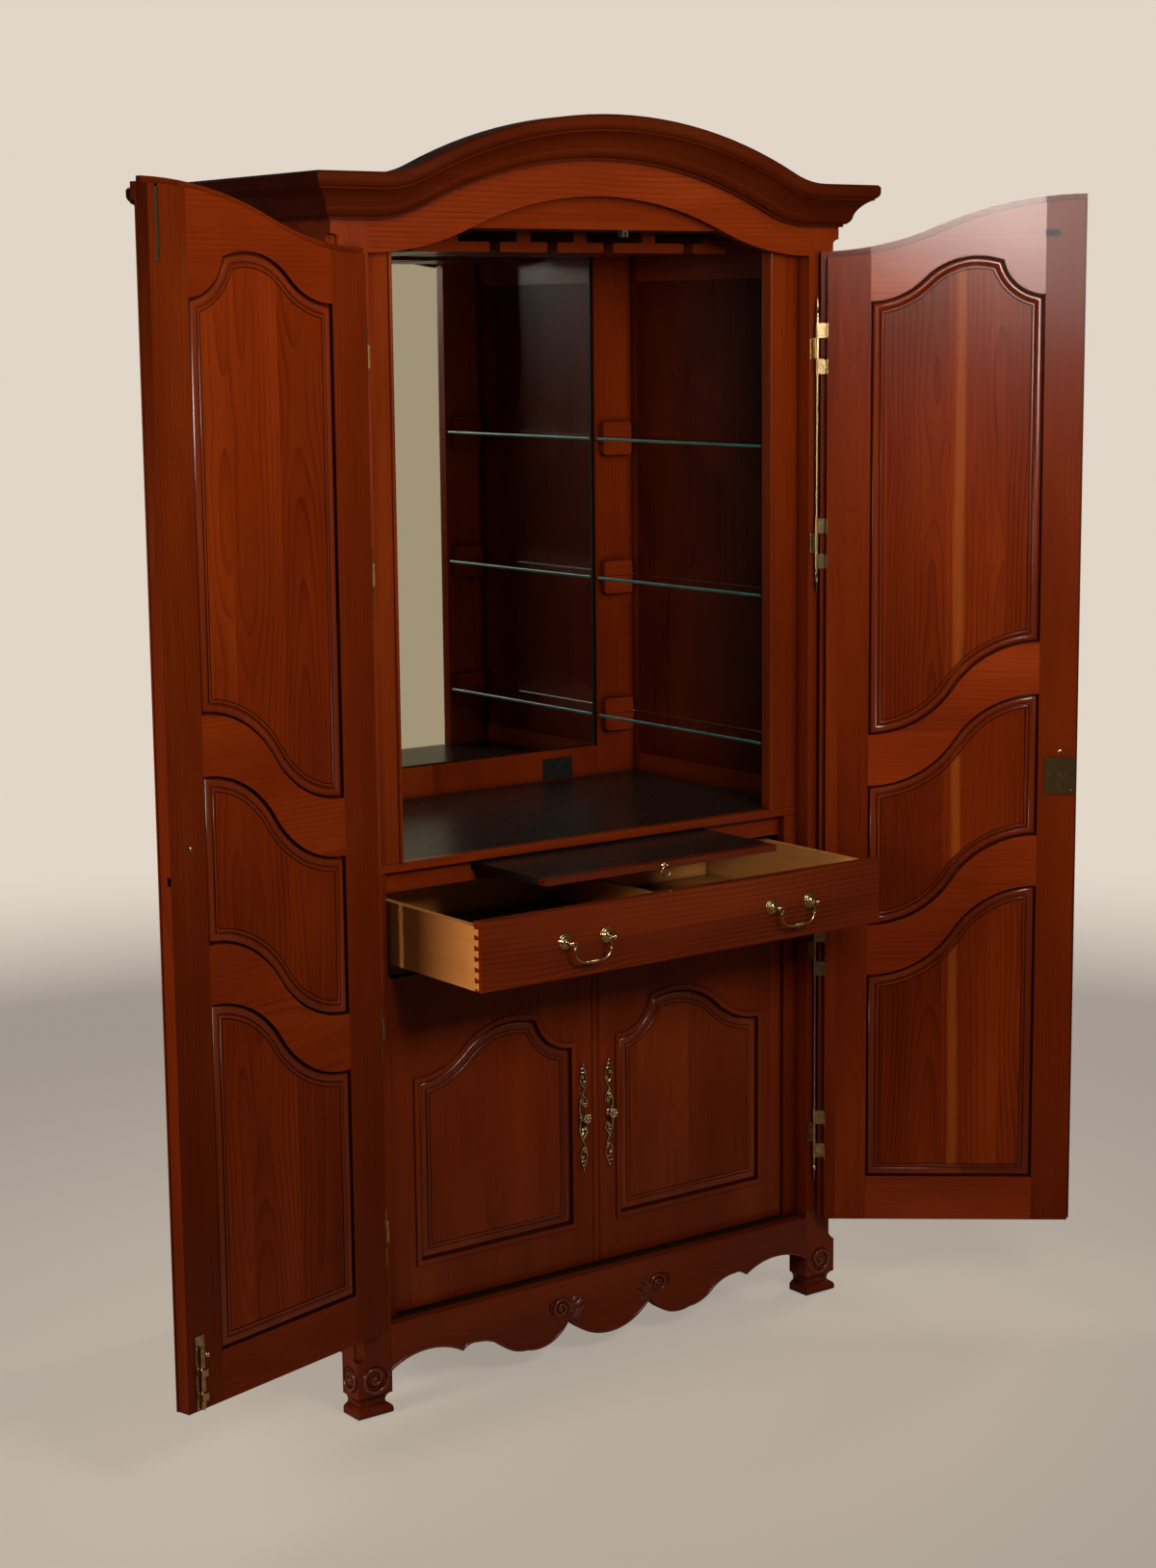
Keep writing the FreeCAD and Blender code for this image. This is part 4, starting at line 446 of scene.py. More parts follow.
def brassMaterial(name, s):
    material, tree, skin = newMaterial(name)
    place = addNode(tree, "ShaderNodeTexCoord")
    aged = addNode(tree, "ShaderNodeGroup", node_tree=tarnish)
    tree.links.new(place.outputs["Object"], aged.inputs["Vector"])
    aged.inputs["Rubbed"].default_value = (*s["rubbed"], 1)
    aged.inputs["Patina"].default_value = (*s["patina"], 1)
    tree.links.new(aged.outputs["Color"], skin.inputs["Base Color"])
    tree.links.new(aged.outputs["Roughness"], skin.inputs["Roughness"])
    skin.inputs["Metallic"].default_value = 1.0
    return material


# Plain stuffs with a mottled colour. Rough is the mottle's share and the least, or one number that holds
# all over.
darkSet = {"low": (0.008, 0.006, 0.005), "high": (0.020, 0.013, 0.009), "scale": 160.0, "detail": 3.0,
           "rough": (0.10, 0.21), "specular": 0.10, "bump": 0.06, "bumpDepth": 0.0003}
# dark strips beside the mirror: partly its dark edge, partly painted shade
mirrorEdgeShadeSet = dict(darkSet, low=(0.003, 0.006, 0.005), high=(0.006, 0.014, 0.011))
ironSet = {"low": (0.012, 0.008, 0.006), "high": (0.055, 0.034, 0.020), "scale": 600.0, "detail": 3.0,
           "rough": (0.3, 0.4)}
plasticSet = {"low": (0.006, 0.006, 0.006), "high": (0.016, 0.015, 0.014), "scale": 1800.0, "detail": 1.0,
              "rough": (0.2, 0.45), "specular": 0.05}
# painted light: the ground edge of the glass, its green made bright to stand in for the light that runs
# inside the glass and comes out there
shelfEdgeGlowSet = {"low": (0.006, 0.036, 0.028), "high": (0.045, 0.19, 0.14), "scale": 22.0, "detail": 2.0,
                "rough": 0.28}


def mottledMaterial(name, s):
    material, tree, skin = newMaterial(name)
    mottle = pieceNoise(tree, s["scale"], s["detail"])
    tree.links.new(mixColour(tree, mottle, s["low"], s["high"]), skin.inputs["Base Color"])
    if isinstance(s["rough"], tuple):
        tree.links.new(lineOf(tree, mottle, *s["rough"]), skin.inputs["Roughness"])
    else:
        skin.inputs["Roughness"].default_value = s["rough"]
    if "specular" in s:
        skin.inputs["Specular IOR Level"].default_value = s["specular"]
    if "bump" in s:
        bump = addNode(tree, "ShaderNodeBump", Strength=s["bump"], Distance=s["bumpDepth"])
        tree.links.new(mottle, bump.inputs["Height"])
        tree.links.new(bump.outputs[0], skin.inputs["Normal"])
    return material


silverSet = {"tint": (0.80, 0.82, 0.77), "scale": 14.0, "detail": 2.0, "haze": 0.03}


def mirrorMaterial(name, s):
    material, tree, skin = newMaterial(name)
    haze = pieceNoise(tree, s["scale"], s["detail"])
    tree.links.new(math2(tree, "MULTIPLY", haze, s["haze"]), skin.inputs["Roughness"])
    skin.inputs["Base Color"].default_value = (*s["tint"], 1)
    skin.inputs["Metallic"].default_value = 1.0
    return material


shelfSet = {"edge": (0.10, 0.42, 0.34), "face": (0.90, 0.97, 0.95), "roughness": 0.02, "ior": 1.5}


# clear on its level faces, green on its upright edges
def glassMaterial(name, s):
    material, tree, skin = newMaterial(name)
    shape = addNode(tree, "ShaderNodeNewGeometry")
    split = addNode(tree, "ShaderNodeSeparateXYZ")
    tree.links.new(shape.outputs["True Normal"], split.inputs[0])
    level = math2(tree, "ABSOLUTE", split.outputs[2])
    tree.links.new(mixColour(tree, level, s["edge"], s["face"]), skin.inputs["Base Color"])
    skin.inputs["Roughness"].default_value = s["roughness"]
    skin.inputs["IOR"].default_value = s["ior"]
    skin.inputs["Transmission Weight"].default_value = 1.0
    return material


doorTurn = {"left": -164.8, "right": 141.0}
hingeAt = {"left": (-494.0, -7.0), "right": (494.0, -7.0)}
# Painted light and shade: each door's stiles and rails are made darker or lighter as the light falls on them.
doorLightShadeTone = {"left": (0.75, 1.1, 1.08), "right": (0.95, 1.4, 1.08)}  # stiles, rails, panels
sapStripe = {"door": "right", "out": 0.262}  # metres from the hinge
# The low tones of the cornice, header, side panels, inner stiles, stemware rack and right lower panel are
# painted shade.
boards = {  # node: way of the grain, turn, width of the glued boards, strength of the figure, tone
    "left_front_post": ("up", 0, 0.30, 0.5, 1.0), "right_front_post": ("up", 0, 0.30, 0.5, 1.0),
    "rear_posts": ("up", 0, 0.30, 0.5, 0.9), "side_rails": ("back", 0, 0.30, 0.6, 1.0),
    "side_panels": ("up", 0, 0.14, 0.7, 0.55), "apron": ("across", 0, 0.40, 0.7, 0.9),
    "frieze": ("across", 0, 0.34, 1.4, 1.0), "header": ("across", 0, 0.30, 0.4, 0.8),
    "cornice": ("across", 0, 0.30, 0.4, 0.42), "inner_stiles": ("up", 0, 0.30, 0.4, 0.85),
    "bar_lipping": ("across", 0, 0.30, 0.4, 1.1), "back_boards": ("up", 0, 0.30, 0.5, 0.9),
    "shelf_cleats": ("across", 0, 0.30, 0.3, 0.9), "stemware_rack": ("across", 0, 0.30, 0.4, 0.5),
    "cross_rails": ("across", 0, 0.30, 0.4, 1.0), "tray_lip": ("across", 0, 0.30, 0.4, 0.7),
    "drawer_front": ("across", 0, 0.16, 1.7, 0.9),
    "left_lower_frame": ("up", 0, 0.30, 0.5, 1.0), "right_lower_frame": ("up", 0, 0.30, 0.5, 1.0),
    "left_lower_panel": ("up", 0, 0.12, 0.6, 1.05), "right_lower_panel": ("up", 0, 0.12, 0.6, 0.85),
}
for side in ("left", "right"):
    turn = doorTurn[side]
    stileTone, railTone, panelTone = doorLightShadeTone[side]
    boards[side + "_door_stiles"] = ("up", turn, 0.30, 0.6, stileTone)
    boards[side + "_door_rails"] = ("across", turn, 0.34, 0.8, railTone)
    boards[side + "_door_panels"] = ("up", turn, 0.11, 1.2, panelTone)
boards["left_door_astragal"] = ("up", doorTurn["left"], 0.30, 0.4, 0.9)
# the floor board's low tone is painted shade in the gap under the lower doors
veneerBoards = {"back_panel": ("up", 1.0), "floor_board": ("across", 0.2), "top_board": ("across", 1.0)}
# the drawer bottom's low tone is painted shade inside the drawer
mapleBoards = {"drawer_box": ("back", 1.0), "drawer_bottom": ("across", 0.42), "runners": ("back", 1.0)}
coats = {  # share of clear coat where it is rubbed thinner than on the rest
    0.03: ("side_panels", "back_boards", "inner_stiles", "shelf_cleats", "stemware_rack", "header"),
    0.09: ("left_door_panels", "right_door_panels", "left_door_stiles", "right_door_stiles",
           "left_door_rails"),
    0.15: ("cornice", "frieze"),
}
coatOf = {node: coat for coat, group in coats.items() for node in group}
veneerCoat, mapleCoat = 0.05, 0.1
cherrySeed, veneerSeed, mapleSeed = 1.0, 60.0, 80.0
brassNodes = [
    "post_leaves", "hinge_rods", "lower_pivots", "left_door_leaves", "left_door_pull", "left_bolt_plate",
    "left_top_bolt", "left_bottom_bolt", "right_door_leaves", "right_door_pull", "right_lock_bolt",
    "bail_posts", "left_bail", "right_bail", "tray_ring_rose", "tray_ring", "left_lower_pull",
    "right_lower_pull",
]
ironNodes = ["right_catch_strike", "door_catch"]
darkNodes = ["bar_top", "tray_board"]


def finish(node, material):
    mesh = nodes[node].data
    mesh.materials.clear()
    mesh.materials.append(material)


# The stripe's place on the grain's X: the hinge's X once the door's turn is undone, less the way out from it.
def sapPlace(s):
    x, y, _ = inMetres((*hingeAt[s["door"]], 0.0))
    turn = math.radians(doorTurn[s["door"]])
    return math.cos(turn) * x + math.sin(turn) * y - s["out"]


for count, (node, (way, turn, board, figure, tone)) in enumerate(boards.items()):
    glue = panelGlue if "panel" in node else frameGlue
    sapAt = sapPlace(sapStripe) if node == sapStripe["door"] + "_door_panels" else noSap
    finish(node, woodMaterial("cherry_" + node, cherrySet, way, turn, count + cherrySeed, board, figure, tone,
                              coatOf.get(node, fullCoat), glue, sapAt))
for count, (node, (way, tone)) in enumerate(veneerBoards.items()):
    finish(node, woodMaterial("veneer_" + node, veneerSet, way, seed=count + veneerSeed, figure=0.5,
                              tone=tone, coat=veneerCoat))
for count, (node, (way, tone)) in enumerate(mapleBoards.items()):
    finish(node, woodMaterial("maple_" + node, mapleSet, way, seed=count + mapleSeed, figure=0.3,
                              tone=tone, coat=mapleCoat))
brass = brassMaterial("agedBrass", brassSet)
for node in brassNodes:
    finish(node, brass)
finish("right_lock_plate", brassMaterial("brass_right_lock_plate", lockBrassSet))
brown = mottledMaterial("brownedIron", ironSet)
for node in ironNodes:
    finish(node, brown)
dark = mottledMaterial("darkSurface", darkSet)
for node in darkNodes:
    finish(node, dark)
finish("mirror", mirrorMaterial("silveredGlass", silverSet))
finish("glass_shelves", glassMaterial("shelfGlass", shelfSet))
nodes["glass_shelves"].visible_shadow = False  # clear glass lets the light by
finish("outlet", mottledMaterial("outletPlastic", plasticSet))
print("finishes set on", len(nodes), "nodes")


# A shell is a grid closed round its columns: its end rings close with a fan to their middle, or its rows
# close in a loop.
def shell(points, loop=False):
    rows, columns = points.shape[:2]
    corners = points.reshape(-1, 3)
    quads = gridFaces(rows, columns, True, loop)
    fans = np.zeros((0, 3), int)
    if not loop:
        here = np.arange(columns)
        ahead = (here + 1) % columns
        last = (rows - 1) * columns
        hub = np.full(columns, rows * columns)
        fans = np.concatenate([np.stack([ahead, here, hub], -1),
                               np.stack([last + here, last + ahead, hub + 1], -1)])
        corners = np.concatenate([corners, points[[0, -1]].mean(1)])
    return corners, quads, fans


# A profile of (radius, height) pairs turned about an axis: point = at + radius * ring(turn) + height * axis.
def turnedShell(profile, at, axis, steps=28):
    profile, axis = np.asarray(profile, float), np.asarray(axis, float)
    side = np.array([1.0, 0.0, 0.0]) if abs(axis[2]) > 0.5 else np.array([0.0, 0.0, 1.0])
    turn = fullTurn(steps)[:, None]
    ring = np.cos(turn) * side + np.sin(turn) * np.cross(axis, side)
    return shell(profile[:, :1, None] * ring + profile[:, 1:, None] * axis + np.asarray(at, float))


# A ball stretched to three half sizes: point = at + half sizes * (sin up cos turn, sin up sin turn, cos up).
def beadShell(at, half, steps=14, rows=10, poleGap=0.03):
    up = np.linspace(poleGap, np.pi - poleGap, rows)[:, None]
    turn = fullTurn(steps)[None, :]
    ball = np.stack([np.sin(up) * np.cos(turn), np.sin(up) * np.sin(turn), np.cos(up) + 0 * turn], -1)
    return shell(ball * np.asarray(half, float) + np.asarray(at, float))


# An ellipse carried along a path that lies square to a normal:
# point = path + across cos * side + out sin * normal.
def tubeShell(path, normal, across, out, steps=12):
    path, normal = np.asarray(path, float), np.asarray(normal, float)
    along = np.gradient(path, axis=0)
    side = np.cross(normal, along / np.linalg.norm(along, axis=1, keepdims=True))
    turn = fullTurn(steps)[None, :, None]
    across, out = (np.broadcast_to(np.asarray(v, float), len(path))[:, None, None] for v in (across, out))
    return shell(path[:, None] + across * np.cos(turn) * side[:, None] + out * np.sin(turn) * normal)


# A smooth curve through key points: on each span, the cubic whose slopes are half the step between its
# neighbours.
def curveThrough(keys, count=40):
    keys = np.asarray(keys, float)
    padded = np.concatenate([2 * keys[:1] - keys[1:2], keys, 2 * keys[-1:] - keys[-2:-1]])
    t = np.linspace(0, len(keys) - 1 - 1e-9, count)
    k = t.astype(int)
    f = (t - k)[:, None]
    a, b, c, d = padded[k], padded[k + 1], padded[k + 2], padded[k + 3]
    return b + f * ((c - a) / 2 + f * (a - 2.5 * b + 2 * c - d / 2 + f * (1.5 * (b - c) + (d - a) / 2)))


# A scroll: radius and turn both run evenly, so the arms lie the same distance apart.
def scrollCurve(middle, radii, turns, count=90):
    turn = np.radians(np.linspace(*turns, count))
    radius = np.linspace(*radii, count)
    return np.stack([middle[0] + radius * np.cos(turn), middle[1] + radius * np.sin(turn)], -1)


# A stroke's thickness along its length, read from (shares of the length, shares of the thickness).
def fadeAlong(count, fade):
    return np.interp(np.linspace(0, 1, count), *fade)


# A leaf or stroke swells from its ends: sin(pi u) to a power, over a small least width.
def swell(count, least, most, power=0.7):
    return least + (most - least) * np.sin(np.pi * np.linspace(0, 1, count)) ** power


def onFront(flat, y):
    flat = np.asarray(flat, float)
    return np.stack([flat[:, 0], np.full(len(flat), float(y)), flat[:, 1]], -1)


def stayPut(points):
    return points


def mirrored(way):
    return lambda points: points * (way, 1, 1)


sharpFrom = 48  # degrees between faces


# The shells are put in place, turned to face outwards by the sign of their volume, and joined in one mesh.
def makePiece(name, shells, body, material, replaced=(), place=stayPut):
    corners, faces, start = [], [], 0
    for points, quads, fans in shells:
        points = place(points)
        halves = np.concatenate([quads[:, :3], quads[:, [0, 2, 3]], fans])
        a, b, c = (points[halves[:, k]] for k in range(3))
        volume = np.einsum("ij,ij->", a, np.cross(b, c))
        way = 1 if volume > 0 else -1
        faces += (quads[:, ::way] + start).tolist() + (fans[:, ::way] + start).tolist()
        corners.append(points)
        start += len(points)
    mesh = bpy.data.meshes.new(name)
    mesh.from_pydata(inMetres(np.concatenate(corners)).tolist(), [], faces)
    mesh.polygons.foreach_set("use_smooth", np.ones(len(faces), bool))
    mesh.set_sharp_from_angle(angle=math.radians(sharpFrom))
    mesh.materials.append(material)
    piece = bpy.data.objects.new(name, mesh)
    scene.collection.objects.link(piece)
    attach(piece, body)
    if replaced:
        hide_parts(*replaced)


front = (0.0, -1.0, 0.0)


# From a shut main door to where it stands open, about its hinge.
def withDoor(side, way=1):
    x0, y0 = hingeAt[side]
    angle = math.radians(doorTurn[side] * way)
    cos, sin = math.cos(angle), math.sin(angle)
    turn = np.array([[cos, sin, 0], [-sin, cos, 0], [0, 0, 1]])
    return lambda points: (points - (x0, y0, 0)) @ turn + (x0, y0, 0)


fieldSet = {  # beads: inset from the rim, depth under the field, half width and height
    "beads": ((-8.5, 3.9, 7.0, 4.7), (2.6, 0.0, 2.2, 0.9)), "steps": 16,
    "rim": 1.8, "near": 0.06, "digits": 1,
    # sloping lines that part a door's three fields
    "splits": (700.0, 1065.0), "slope": 0.5455, "hingeEdge": 397.0,
}
lowerFieldSet = dict(fieldSet, beads=((-8.5, 2.7, 7.0, 3.3), (2.6, 0.0, 2.2, 0.9)), splits=())


def meshPoints(node):
    mesh = nodes[node].data
    points = np.empty(len(mesh.vertices) * 3)
    mesh.vertices.foreach_get("co", points)
    return (points.reshape(-1, 3) - caseMiddle) * perMetre


# A bead round each raised field. Its path is the rim under the field, put in order by angle round the
# middle and moved in along the mitre of the two edges that meet at each point.
# Point = path + across cos * mitre + out sin * normal.
def fieldBeads(s, points):
    turn = fullTurn(s["steps"])[None, :, None]
    shells = []
    for way, far in ((-1, points[:, 1].min()), (1, points[:, 1].max())):
        rim = points[np.abs(points[:, 1] - far + way * s["rim"]) < s["near"]]
        flat = np.unique(np.round(rim[:, [0, 2]], s["digits"]), axis=0)
        level = flat[:, 1] - s["slope"] * (s["hingeEdge"] - np.abs(flat[:, 0]))
        group = np.digitize(level, s["splits"])
        for k in np.unique(group):
            ring = flat[group == k]
            around = ring - (ring.min(0) + ring.max(0)) / 2
            ring = ring[np.argsort(np.arctan2(around[:, 1], around[:, 0]))]
            step = np.roll(ring, -1, 0) - ring
            step /= np.linalg.norm(step, axis=1, keepdims=True)
            ahead = step[:, ::-1] * (-1, 1)
            behind = np.roll(ahead, 1, 0)
            mitre = (ahead + behind) / (1 + np.sum(ahead * behind, 1, keepdims=True))
            side = onFront(mitre, 0)[:, None]
            for inset, under, half, out in s["beads"]:
                path = onFront(ring + inset * mitre, far - way * under)[:, None]
                shells.append(shell(path + half * np.cos(turn) * side
                                    + out * np.sin(turn) * np.array([0.0, way, 0.0]), True))
    return shells


beaded = woodMaterial("cherry_panel_bead", cherrySet, "up", seed=45.0, figure=0.3, tone=0.95, coat=0.6)
for side in ("left", "right"):
    shut = withDoor(side, -1)(meshPoints(side + "_door_panels"))
    makePiece("field_beads_" + side, fieldBeads(fieldSet, shut), side + "_door", beaded,
              place=withDoor(side))
    lower = meshPoints(side + "_lower_panel")
    makePiece("lower_field_beads_" + side, fieldBeads(lowerFieldSet, lower), side + "_lower_door",
              beaded)
print("panel beads made")

pullSet = {
    "half": 102.0, "tip": 2.0, "bow": 8.0, "low": 0.46,
    "stem": (1.0, 2.0), "stemSteps": 121, "blunt": 1.02, "narrow": 0.95,
    "neck": [(7.4, 0), (7.4, 1.6), (6.6, 2.6), (5.4, 3.2), (4.2, 5), (3.6, 8), (3.8, 11), (5.2, 12.8),
             (7.4, 13.8), (8.0, 15), (6.5, 16), (3.8, 16.4), (0.3, 16.6)],
    "petals": 8, "petalAt": 7.2, "petal": 2.6, "petalOut": 15.4, "eye": (3.6, 3.4, 3.6), "eyeOut": 16.4,
    "curls": [[(-2, 45), (2.5, 39), (7.5, 32), (8.8, 24.5), (6.2, 19), (2.4, 20), (2.2, 24.4), (4.6, 25.4)],
              [(1.5, 57), (-3.5, 63.5), (-6.2, 71), (-4.6, 78), (-0.6, 78.6), (0.4, 74.6), (-1.8, 73)]],
    "curlWide": (1.7, 1.0), "curlHigh": 1.7, "curlOut": 1.9,
    "leaves": [[(-5.4, 36), (-0.5, 33), (2.6, 28)], [(-6.2, 30), (-1.8, 26.5), (0.4, 21)],
               [(7.6, 69), (3.4, 66), (2.0, 60)], [(6.6, 82), (1.4, 84.5), (-3.4, 83)],
               [(4.4, 89), (0.6, 92), (-3.6, 91.4)]],
    "leafSteps": 16, "leafWide": (0.4, 2.3), "leafHigh": (0.3, 1.5), "leafOut": 1.5,
    "beads": [(4.2, 24, 2.4), (1.2, 36.8, 1.5), (-2.0, 75.4, 2.0), (-4.2, 84.2, 1.7), (-4.4, 91.6, 1.5),
              (0, 100, 1.9)],
    "beadOut": 0.6,
}
lowerPullSet = {"x": 30.0, "z": 446.0, "face": 40.0}
doorPullSet = {"x": {"left": -45.0, "right": 37.0}, "z": 1081.0, "face": -10.5, "boltAt": (0, 24, 0),
               "boltHead": [(4.5, 0), (4.5, 1.0), (4.2, 1.6), (3.2, 2.3), (1.6, 2.7), (0.2, 2.8)]}


# Stem: x = bow * sin(pi (u - low) / (1 - low)) with u the share of the half height, the same above and
# below the knob. Curls and leaves are tubes along their keys, and petals and berries are balls.
def pullShells(s):
    t = np.linspace(-1, 1, s["stemSteps"])
    u = np.abs(t)
    x = s["bow"] * np.sin(np.pi * (u - s["low"]) / (1 - s["low"]))
    thin, full = s["stem"]
    thick = thin + (full - thin) * np.sqrt(np.clip(s["blunt"] - u, 0, 1))
    flat = np.stack([x, t * (s["half"] - s["tip"])], -1)
    path = onFront(flat, 0) + np.array(front) * thick[:, None]
    shells = [tubeShell(path, front, thick * s["narrow"], thick)]
    count = s["leafSteps"]
    for end in (1, -1):
        for keys in s["curls"]:
            curl = curveThrough(np.array(keys) * (1, end))
            wide = np.linspace(*s["curlWide"], len(curl))
            shells.append(tubeShell(onFront(curl, -s["curlOut"]), front, wide, s["curlHigh"]))
        for keys in s["leaves"]:
            leaf = curveThrough(np.array(keys) * (1, end), count)
            shells.append(tubeShell(onFront(leaf, -s["leafOut"]), front, swell(count, *s["leafWide"]),
                                    swell(count, *s["leafHigh"])))
        for beadX, beadZ, r in s["beads"]:
            shells.append(beadShell((beadX, -r - s["beadOut"], end * beadZ), (r, r, r)))
    shells.append(turnedShell(s["neck"], (0, 0, 0), front))
    for a in fullTurn(s["petals"]):
        at = (s["petalAt"] * math.cos(a), -s["petalOut"], s["petalAt"] * math.sin(a))
        shells.append(beadShell(at, (s["petal"],) * 3))
    shells.append(beadShell((0, -s["eyeOut"], 0), s["eye"]))
    return shells


def pullPlace(x, z, faceY, way):
    return lambda points: points * (way, 1, 1) + (x, faceY, z)


pullForm = pullShells(pullSet)
pullBrass = brassMaterial("pullBrass", pullBrassSet)
for side, way in (("left", 1), ("right", -1)):
    node = side + "_lower_pull"
    makePiece("scroll_" + node, pullForm, side + "_lower_door", pullBrass, [node],
              pullPlace(-lowerPullSet["x"] * way, lowerPullSet["z"], lowerPullSet["face"], way))
boltHead = turnedShell(doorPullSet["boltHead"], doorPullSet["boltAt"], (0, 1, 0))
for side, way in (("left", 1), ("right", -1)):
    node = side + "_door_pull"
    shut = pullPlace(doorPullSet["x"][side], doorPullSet["z"], doorPullSet["face"], way)
    makePiece("scroll_" + node, pullForm + [boltHead], side + "_door", pullBrass, [node],
              lambda points, shut=shut, turn=withDoor(side): turn(shut(points)))
print("pulls made")

bailSet = {  # grip: distance from the middle, radius; rose: radius, height
    "middle": 228.0, "spacing": 89.0, "y": -265.0, "z": 859.0, "face": -243.0,
    "arm": [(43, 0), (39.5, 0), (37, -0.1), (35.2, -1.2), (35.4, -4), (37.4, -8.5), (38.5, -13),
            (37.9, -18.5), (35.2, -25), (30.4, -30.6), (23.5, -34.6), (15.5, -36)],
    "armSteps": 60, "armThick": (1.7, 2.1), "sides": 14,
    "grip": [(15.5, 2.2), (13.5, 2.7), (9.5, 3.4), (8.2, 3.4), (7.4, 2.5), (6.6, 2.6), (6.2, 3.9), (5.4, 4.1),
             (5.0, 3.0), (4.4, 2.9), (3.4, 4.0), (2.2, 4.4), (1.0, 4.0), (0.2, 3.2), (0, 3.1)],
    "gripSteps": 90,
    "rose": [(14, 0), (14, 0.9), (13.6, 1.7), (12.7, 2.2), (11.9, 2.0), (11.5, 2.5), (11.2, 3.5), (10.4, 4.4),
             (9.3, 4.7), (8.4, 4.4), (8.0, 5.0), (7.5, 6.4), (6.2, 7.7), (4.6, 8.5), (3.5, 10), (3.0, 12.5),
             (3.1, 15.2), (3.9, 16.8)],
    "roseSides": 36, "ball": 5.5, "stand": 22.0, "ballTurn": (0.78, np.pi - 0.04), "ballSteps": 12,
}


# Arms follow their keys, and the grip runs level with a radius read from its pairs.
def bailShells(s):
    arm = curveThrough(s["arm"], s["armSteps"])
    endX, endZ = s["arm"][-1]
    gripX = np.linspace(endX, 0, s["gripSteps"])
    reach, radius = np.array(s["grip"][::-1]).T
    half = np.concatenate([arm[:-1], np.stack([gripX, np.full(len(gripX), endZ)], -1)])
    thick = np.concatenate([np.linspace(*s["armThick"], len(arm) - 1), np.interp(gripX, reach, radius)])
    whole = np.concatenate([half, half[-2::-1] * (-1, 1)])
    thick = np.concatenate([thick, thick[-2::-1]])
    return [tubeShell(onFront(whole, 0), front, thick, thick, s["sides"])]


# The rose's profile ends in a ball: radius = ball sin turn, height = stand - ball cos turn.
def roseShells(s):
    turn = np.linspace(*s["ballTurn"], s["ballSteps"])
    ball = np.stack([s["ball"] * np.sin(turn), s["stand"] - s["ball"] * np.cos(turn)], -1)
    profile = np.concatenate([s["rose"], ball])
    places = [way * s["middle"] + end * s["spacing"] / 2 for way in (-1, 1) for end in (-1, 1)]
    return [turnedShell(profile, (x, s["face"], s["z"]), front, s["roseSides"]) for x in places]


for side, way in (("left", -1), ("right", 1)):
    move = np.array([way * bailSet["middle"], bailSet["y"], bailSet["z"]])
    makePiece("wrought_" + side + "_bail", bailShells(bailSet), side + "_bail", brass,
              [side + "_bail"], lambda points, move=move: points + move)
makePiece("bail_rosettes", roseShells(bailSet), "drawer", brass, ["bail_posts"])
print("bails made")


# An arc through three points: the circle's middle is where the chords' square bisectors meet.
def arcThrough(a, m, b, count=24):
    a, m, b = (complex(*p) for p in (a, m, b))
    w = (b - a) / (m - a)
    middle = (m - a) * (w - abs(w) ** 2) / (2j * w.imag) + a
    start, through, end = (np.angle(p - middle) for p in (a, m, b))
    span = (end - start) % (2 * np.pi)
    if (through - start) % (2 * np.pi) > span:
        span -= 2 * np.pi
    points = middle + abs(a - middle) * np.exp(1j * (start + np.linspace(0, span, count)))
    return np.stack([points.real, points.imag], -1)


# An arc level at its first point: radius = (run^2 + rise^2) / (2 rise).
def levelArc(a, b, count=24):
    run, rise = b[0] - a[0], b[1] - a[1]
    radius = (run ** 2 + rise ** 2) / (2 * abs(rise))
    turn = np.linspace(0, math.asin(abs(run) / radius), count)
    return np.stack([a[0] + math.copysign(1, run) * radius * np.sin(turn),
                     a[1] + math.copysign(1, rise) * radius * (1 - np.cos(turn))], -1)


apronSet = {
    "cusp": (94.0, 82.0), "lobe": (188.0, 45.0), "lobeBend": (124.08, 52.4), "shoulder": (299.0, 86.0),
    "nickBend": (318.0, 84.5), "nick": (329.0, 77.0), "nickSteps": 8, "arch": (390.0, 97.0),
    "end": (480.0, 76.0), "middle": (0.0, 38.0), "middleSteps": 40,
    "inset": 3.2, "bead": (2.2, 1.5), "beadSides": 10,
}
carvingSet = {
    "scroll": (113.0, 107.0), "radii": (21.0, 3.6), "turns": (-58, 600), "band": (3.4, 3.2), "out": 0.3,
    "fade": ([0, 0.12, 0.7, 1], [0.35, 1, 0.9, 0.6]), "eye": (4.2, 2.8, 4.2),
    "leaves": [[(88, 86), (79, 85), (70, 86), (61, 91)], [(89, 88), (79, 92), (69, 97), (59, 105)],
               [(90, 90), (82, 99), (74, 109), (66, 119)], [(91, 92), (88, 104), (85, 115), (79, 126)]],
    "leafSteps": 20, "leafWide": (1.2, 6.4), "leafHigh": (0.4, 3.8), "sunk": 0.2, "vein": (0.9, 0.7),
}


# The bead lies a little inside the lower edge: each point moves by the inset along the edge's upward normal.
def apronBeads(s):
    low = (s["lobe"][0] + s["shoulder"][0]) / 2, (s["lobe"][1] + s["shoulder"][1]) / 2
    wave = np.concatenate([
        arcThrough(s["cusp"], s["lobeBend"], s["lobe"])[:-1], levelArc(s["lobe"], low)[:-1],
        levelArc(s["shoulder"], low)[::-1][:-1],
        arcThrough(s["shoulder"], s["nickBend"], s["nick"], s["nickSteps"])])
    arch = arcThrough(s["nick"], s["arch"], s["end"])
    cuspX, cuspZ = s["cusp"]
    runs = [arcThrough((-cuspX, cuspZ), s["middle"], s["cusp"], s["middleSteps"])]
    for way in (1, -1):
        runs += [(run * (way, 1))[::way] for run in (wave, arch)]
    shells = []
    for run in runs:
        along = np.gradient(run, axis=0)
        along /= np.linalg.norm(along, axis=1, keepdims=True)
        inside = run + s["inset"] * along[:, ::-1] * (-1, 1)
        shells.append(tubeShell(onFront(inside, 0), front, *s["bead"], steps=s["beadSides"]))
    return shells


